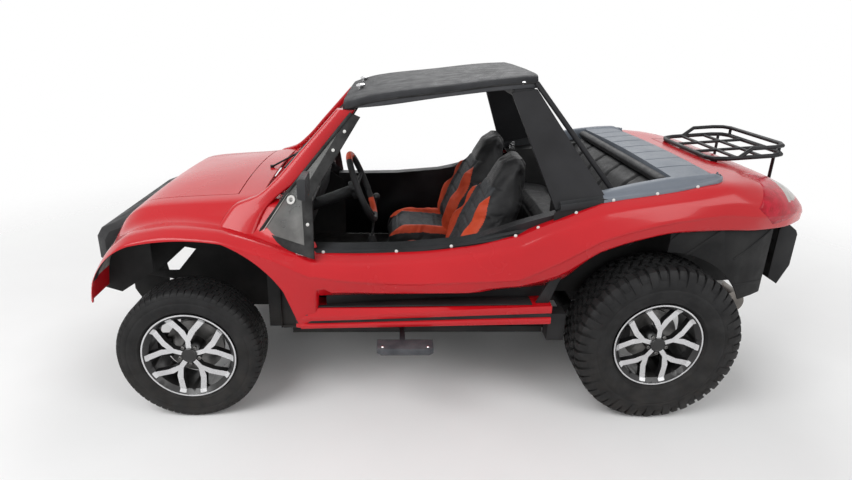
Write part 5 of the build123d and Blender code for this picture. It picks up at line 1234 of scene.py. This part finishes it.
# Side outline of the middle and of the bolsters by height: front line, rear line
BACK_ROWS = [
    # z, front of middle, front of bolster, rear, half width
    (0.560, 0.020, -0.030, 0.110, 0.222),
    (0.620, 0.016, -0.024, 0.180, 0.226),
    (0.700, 0.048, -0.006, 0.222, 0.230),
    (0.780, 0.076, 0.018, 0.256, 0.230),
    (0.860, 0.114, 0.074, 0.276, 0.220),
    (0.940, 0.148, 0.112, 0.298, 0.206),
    (1.000, 0.176, 0.158, 0.312, 0.182),
    (1.050, 0.200, 0.194, 0.324, 0.166),
    (1.100, 0.224, 0.222, 0.330, 0.154),
    (1.140, 0.238, 0.240, 0.340, 0.142),
    (1.160, 0.252, 0.256, 0.330, 0.126),
    (1.172, 0.272, 0.276, 0.318, 0.095),
]
CUSHION_ROWS = [
    # x, top of middle, top of bolster, underside, half width
    (-0.340, 0.540, 0.540, 0.500, 0.190),
    (-0.334, 0.578, 0.578, 0.482, 0.212),
    (-0.310, 0.602, 0.606, 0.474, 0.226),
    (-0.270, 0.610, 0.626, 0.472, 0.230),
    (-0.180, 0.604, 0.636, 0.472, 0.232),
    (-0.080, 0.595, 0.636, 0.472, 0.232),
    (0.000, 0.586, 0.630, 0.474, 0.230),
    (0.060, 0.580, 0.610, 0.480, 0.224),
    (0.100, 0.570, 0.580, 0.492, 0.205),
]
# Shares of the half width at which a section has its points
NEAR_SHARES = (0.0, 0.22, 0.45, 0.61, 0.68, 0.76, 0.88, 0.97, 1.0)
FAR_SHARES = (0.0, 0.25, 0.5, 0.75, 0.93, 1.0)


def squab(across, near, proud, far, half, dome=0.0):
    """Outline of a cushion's section: near face with proud bolsters, far face flat, ends domed."""
    line = []
    for share in [-s for s in NEAR_SHARES[:0:-1]] + list(NEAR_SHARES):
        away = abs(share)
        if away < 0.70:
            depth = near + (0 if away < 0.62 else (proud - near) * 0.55)
        else:
            depth = proud + (0 if away < 0.96 else (far - proud) * (0.10 if away < 0.99 else 0.28))
        line.append(across(share * half, depth + dome * away**2.5))
    for share in list(FAR_SHARES[::-1]) + [-s for s in FAR_SHARES[1:]]:
        corner = (proud - far) * 0.22 if abs(share) == 1 else 0
        line.append(across(share * half, far - dome * abs(share) ** 2.5 + corner))
    return line


PRESSURE, STIFFNESS, PUFF_FRAMES = 4.0, 12, 20


def puffed(obj, voxel, limit):
    """Cushion blown up by the cloth solver from its cut shape, held near it, then smoothed."""
    rest = obj.modifiers.new("rest", "REMESH")
    rest.mode, rest.voxel_size = "VOXEL", voxel
    settle(obj)
    start = np.array([tuple(v.co) for v in obj.data.vertices])
    cloth = obj.modifiers.new("cloth", "CLOTH")
    cloth.settings.use_pressure = True
    cloth.settings.uniform_pressure_force = PRESSURE
    cloth.settings.effector_weights.gravity = 0
    cloth.settings.tension_stiffness = cloth.settings.compression_stiffness = STIFFNESS
    cloth.point_cache.frame_start, cloth.point_cache.frame_end = 1, PUFF_FRAMES
    scene = bpy.context.scene
    for step in range(1, PUFF_FRAMES + 1):
        scene.frame_set(step)
    settle(obj)
    scene.frame_set(1)
    move = np.array([tuple(v.co) for v in obj.data.vertices]) - start
    length = np.maximum(np.linalg.norm(move, axis=1), 1e-9)
    obj.data.vertices.foreach_set("co", (start + move * np.minimum(1.0, limit / length)[:, None]).ravel())
    fine = obj.modifiers.new("fine", "SUBSURF")
    fine.levels = fine.render_levels = 1
    settle(obj)
    smooth(obj, 60)


def seamed(obj, seam, depth=0.004, width=0.007):
    """Pushes the cover in along the seams; seam gives a point's distance to the nearest one."""
    vertices = obj.data.vertices
    for vertex, normal in zip(vertices, [vertex.normal.copy() for vertex in vertices]):
        near = seam(vertex.co, normal)
        if near < 3 * width:
            vertex.co -= normal * depth * float(np.exp(-((near / width) ** 2)))


def row_at(rows, key, column):
    """Value of a column on a smooth line through the rows at the key."""
    return at([(row[0], row[column]) for row in rows], min(max(key, rows[0][0]), rows[-1][0]))


SEAT_MIDDLE, BOLSTER_SHARE, BOLSTER_Y, SQUEEZE = 0.300, 0.64, 0.145, 0.008
RIB_PITCH, RIBS_TOP, ORANGE_TOP = 0.075, 0.99, 1.01
rows = []
for z in np.linspace(0.560, 1.172, 30):
    near, proud, far, half = (row_at(BACK_ROWS, z, c) for c in (1, 2, 3, 4))
    dome = 0.030 * min(1, max(0, (z - 0.98) / 0.12))
    depths = (near + SQUEEZE, proud + SQUEEZE, far - SQUEEZE, half - SQUEEZE, dome)
    rows.append(squab(lambda y, x: Vector((x, SEAT_MIDDLE + y, z)), *depths))
seat_back = solid("seat_back_right", "seat_leather", rows, seat_black, orange, seat_grey)
rows = []
for x in np.linspace(-0.340, 0.100, 22):
    top, proud, low, half = (row_at(CUSHION_ROWS, x, c) for c in (1, 2, 3, 4))
    depths = (top - SQUEEZE, proud - SQUEEZE, low + 0.002, half - SQUEEZE)
    rows.append(squab(lambda y, z: Vector((x, SEAT_MIDDLE + y, z)), *depths))
seat_cushion = solid("seat_cushion_right", "seat_leather", rows, seat_black, orange, seat_grey)
for obj in (seat_back, seat_cushion):
    puffed(obj, 0.0095, 0.022)


def back_ribs(point, normal):
    """Distance to the nearest seam of the backrest's cover."""
    away, half = abs(point.y - SEAT_MIDDLE), row_at(BACK_ROWS, point.z, 4)
    if normal.x > -0.2:
        return abs(away - half * 0.93) if normal.x < 0.3 and point.z > 0.6 else 1
    ribs = abs((point.z - 0.62) % RIB_PITCH - RIB_PITCH / 2) if away < half * 0.60 and point.z < RIBS_TOP else 1
    edge = abs(away - half * BOLSTER_SHARE) if point.z < 1.02 else 1
    brow = abs(point.z - 1.015) if away < half * 0.9 else 1
    return min(ribs, edge, brow)


def cushion_ribs(point, normal):
    """Distance to the nearest seam of the cushion's cover."""
    away = abs(point.y - SEAT_MIDDLE)
    if normal.z < 0.2:
        return abs(point.z - 0.520) if point.z > 0.5 else 1
    ribs = abs((point.x + 0.30) % RIB_PITCH - RIB_PITCH / 2) if away < 0.135 else 1
    return min(ribs, abs(away - BOLSTER_Y))


seamed(seat_back, back_ribs)
seamed(seat_cushion, cushion_ribs)
for face in seat_back.data.polygons:
    x, y, z = face.center
    away, inner = abs(y - SEAT_MIDDLE), row_at(BACK_ROWS, z, 4) * BOLSTER_SHARE
    front = row_at(BACK_ROWS, z, 2) + 0.055 * (1 - max(0, (z - 0.80) / 0.22) ** 2)
    if z < ORANGE_TOP and x < front and away > inner:
        face.material_index = 1
    elif z < ORANGE_TOP and away < inner and face.normal.x < -0.2:
        face.material_index = 2
for face in seat_cushion.data.polygons:
    if face.center.z > row_at(CUSHION_ROWS, face.center.x, 2) - 0.030:
        face.material_index = 1 if abs(face.center.y - SEAT_MIDDLE) > BOLSTER_Y else 2
legs = []
for y0, y1 in ((0.105, 0.145), (0.455, 0.495)):
    rows = [loop_between(-0.285, 0.060, y0, y1, z, 0.2) for z in (0.407, 0.412, 0.462, 0.474)]
    legs.append(grid(rows, around=True, ends=True))
runners = piece("seat_runners_right", "seat_leather", together(*legs), black_steel)
for obj in (seat_back, seat_cushion, runners):
    other = bpy.data.objects.new(obj.name.replace("right", "left"), obj.data.copy())
    other.data.transform(Matrix.Translation((0, -2 * SEAT_MIDDLE, 0)))
    bpy.context.collection.objects.link(other)
    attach(other, "chassis")
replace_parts(seat_cushion, "seats")

# Rear bench: one wide seat cushion and a backrest of padded panels under a rolled top edge,
# all in black hide with sewn seams.
FRONT, DEPTH, SEAT_TOP = 0.428, 0.262, 0.806
bench_rows = []
for x in np.linspace(FRONT, FRONT + DEPTH, 14):
    share = (x - FRONT) / DEPTH
    drop = 0.024 * share + 0.045 * max(0, 1 - share / 0.14) ** 2 + 0.02 * max(0, (share - 0.9) / 0.1) ** 2
    top = SEAT_TOP - drop
    bench_rows.append(squab(lambda y, z: Vector((x, y, z)), top, top + 0.002, 0.700, 0.520))
bench = solid("bench_cushion", "seat_leather", bench_rows, seat_black)
REST_ROWS = [
    # z, front, rear, half width
    (0.775, 0.716, 0.815, 0.600),
    (0.800, 0.708, 0.830, 0.606),
    (0.860, 0.736, 0.868, 0.610),
    (0.930, 0.780, 0.905, 0.612),
    (1.000, 0.826, 0.922, 0.612),
    (1.060, 0.866, 0.928, 0.612),
    (1.092, 0.886, 0.928, 0.610),
]
rows = []
for z in np.linspace(0.775, 1.092, 18):
    near, far, half = (row_at(REST_ROWS, z, c) for c in (1, 2, 3))
    rows.append(squab(lambda y, x: Vector((x, y, z)), near + 0.006, near + 0.006, far - 0.004, half - 0.006))
rest = solid("bench_backrest", "seat_leather", rows, seat_black)
rows = []
for y in np.linspace(-0.616, 0.616, 40):
    end = max(0.12, 1 - max(0, (abs(y) - 0.596) / 0.02) ** 2) ** 0.5
    turns = [2 * pi * n / 18 for n in range(18)]
    rows.append([(0.904 + 0.026 * end * cos(a), y, 1.102 + 0.022 * end * sin(a)) for a in turns])
roll = solid("bench_roll", "seat_leather", rows, seat_black)
for obj, voxel, limit in ((bench, 0.013, 0.020), (rest, 0.012, 0.020), (roll, 0.008, 0.008)):
    puffed(obj, voxel, limit)
seamed(bench, lambda p, n: abs(p.z - 0.770) if n.z < 0.5 else min(abs(abs(p.y) - 0.006), abs(abs(p.y) - 0.265)))
seamed(
    rest, lambda p, n: min(abs(abs(p.y) - 0.118), abs(abs(p.y) - 0.355)) if n.x < 0.2 else 1, depth=0.012, width=0.012
)
seamed(roll, lambda p, n: abs(p.z - 1.096) if n.x < 0 else 1, depth=0.003, width=0.004)
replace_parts(rest, "rear_bench")

# Belt anchors: plated steel brackets with a rounded eye, one bolted to the inner face of each
# leg of the hoop.
EYE = [(0.014, 0.000), (0.014, 0.010), (0.011, 0.013), (0.006, 0.013), (0.006, 0.006)]
brackets = [loop_between(0.446, 0.478, 0.600, 0.618, z, 0.5) for z in (0.988, 0.992, 1.018, 1.022)]
pair("belt_bracket", "black_paint", brackets, chrome)
anchors = [((0.462, side * 0.600, 1.034), (0, -side, 0)) for side in (-1, 1)]
repeated("belt_eyes", lathe(EYE, 24), anchors, chrome)

# Studio: a pale floor that fades into the white ground behind the picture, three soft lamps
# round the buggy and a dim even sky.
floor = bpy.data.meshes.new("studio_floor")
floor.from_pydata([(-40, -40, 0), (40, -40, 0), (40, 40, 0), (-40, 40, 0)], [], [(0, 1, 2, 3)])
ground = bpy.data.objects.new("studio_floor", floor)
bpy.context.collection.objects.link(ground)
pale = surface("studio_floor", (0.90, 0.90, 0.90), (0.92, 0.92, 0.92), (0.6, 0.8), 2, bump=0)
floor.materials.append(pale)
tree = pale.node_tree
place = tree.nodes.new("ShaderNodeTexCoord").outputs["Object"]
reach = wired(tree, "ShaderNodeVectorMath", {0: place}, operation="LENGTH").outputs["Value"]
span = {"Value": reach, "From Min": 1.8, "From Max": 5.0}
fade = wired(tree, "ShaderNodeMapRange", span, interpolation_type="SMOOTHSTEP").outputs["Result"]
clear = tree.nodes.new("ShaderNodeBsdfTransparent").outputs[0]
blend = wired(tree, "ShaderNodeMixShader", {0: fade, 1: tree.nodes["Principled BSDF"].outputs[0], 2: clear})
fill(tree, tree.nodes["Material Output"], {"Surface": blend.outputs[0]})
ground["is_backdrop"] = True
# columns: place, size, watts
LIGHTS = [((-3.2, -3.4, 4.2), 3.4, 190), ((3.0, -3.8, 3.4), 3.0, 80), ((0.6, 3.2, 4.4), 3.2, 120)]
for number, (place, size, power) in enumerate(LIGHTS):
    light = bpy.data.lights.new("soft_%d" % number, "AREA")
    light.energy, light.size = power, size
    lamp = bpy.data.objects.new("soft_%d" % number, light)
    lamp.location = place
    lamp.rotation_euler = (Vector((0, 0, 0.6)) - lamp.location).to_track_quat("-Z", "Y").to_euler()
    bpy.context.collection.objects.link(lamp)
world = bpy.data.worlds.new("studio")
world.use_nodes = True
tree = world.node_tree
sky = fill(tree, tree.nodes["Background"], {"Color": (1, 1, 1, 1), "Strength": 0.42})
white = wired(tree, "ShaderNodeBackground", {"Color": (1, 1, 1, 1), "Strength": 1})
ray = tree.nodes.new("ShaderNodeLightPath").outputs
seen = ray["Is Camera Ray"]
for kind in ("Glossy", "Transmission"):
    both = {0: seen, 1: ray["Is " + kind + " Ray"]}
    seen = wired(tree, "ShaderNodeMath", both, operation="ADD", use_clamp=True).outputs[0]
mix = wired(tree, "ShaderNodeMixShader", {0: seen, 1: sky.outputs[0], 2: white.outputs[0]})
fill(tree, tree.nodes["World Output"], {"Surface": mix.outputs[0]})
bpy.context.scene.world = world
bpy.context.scene.view_settings.view_transform = "Standard"

low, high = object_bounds()
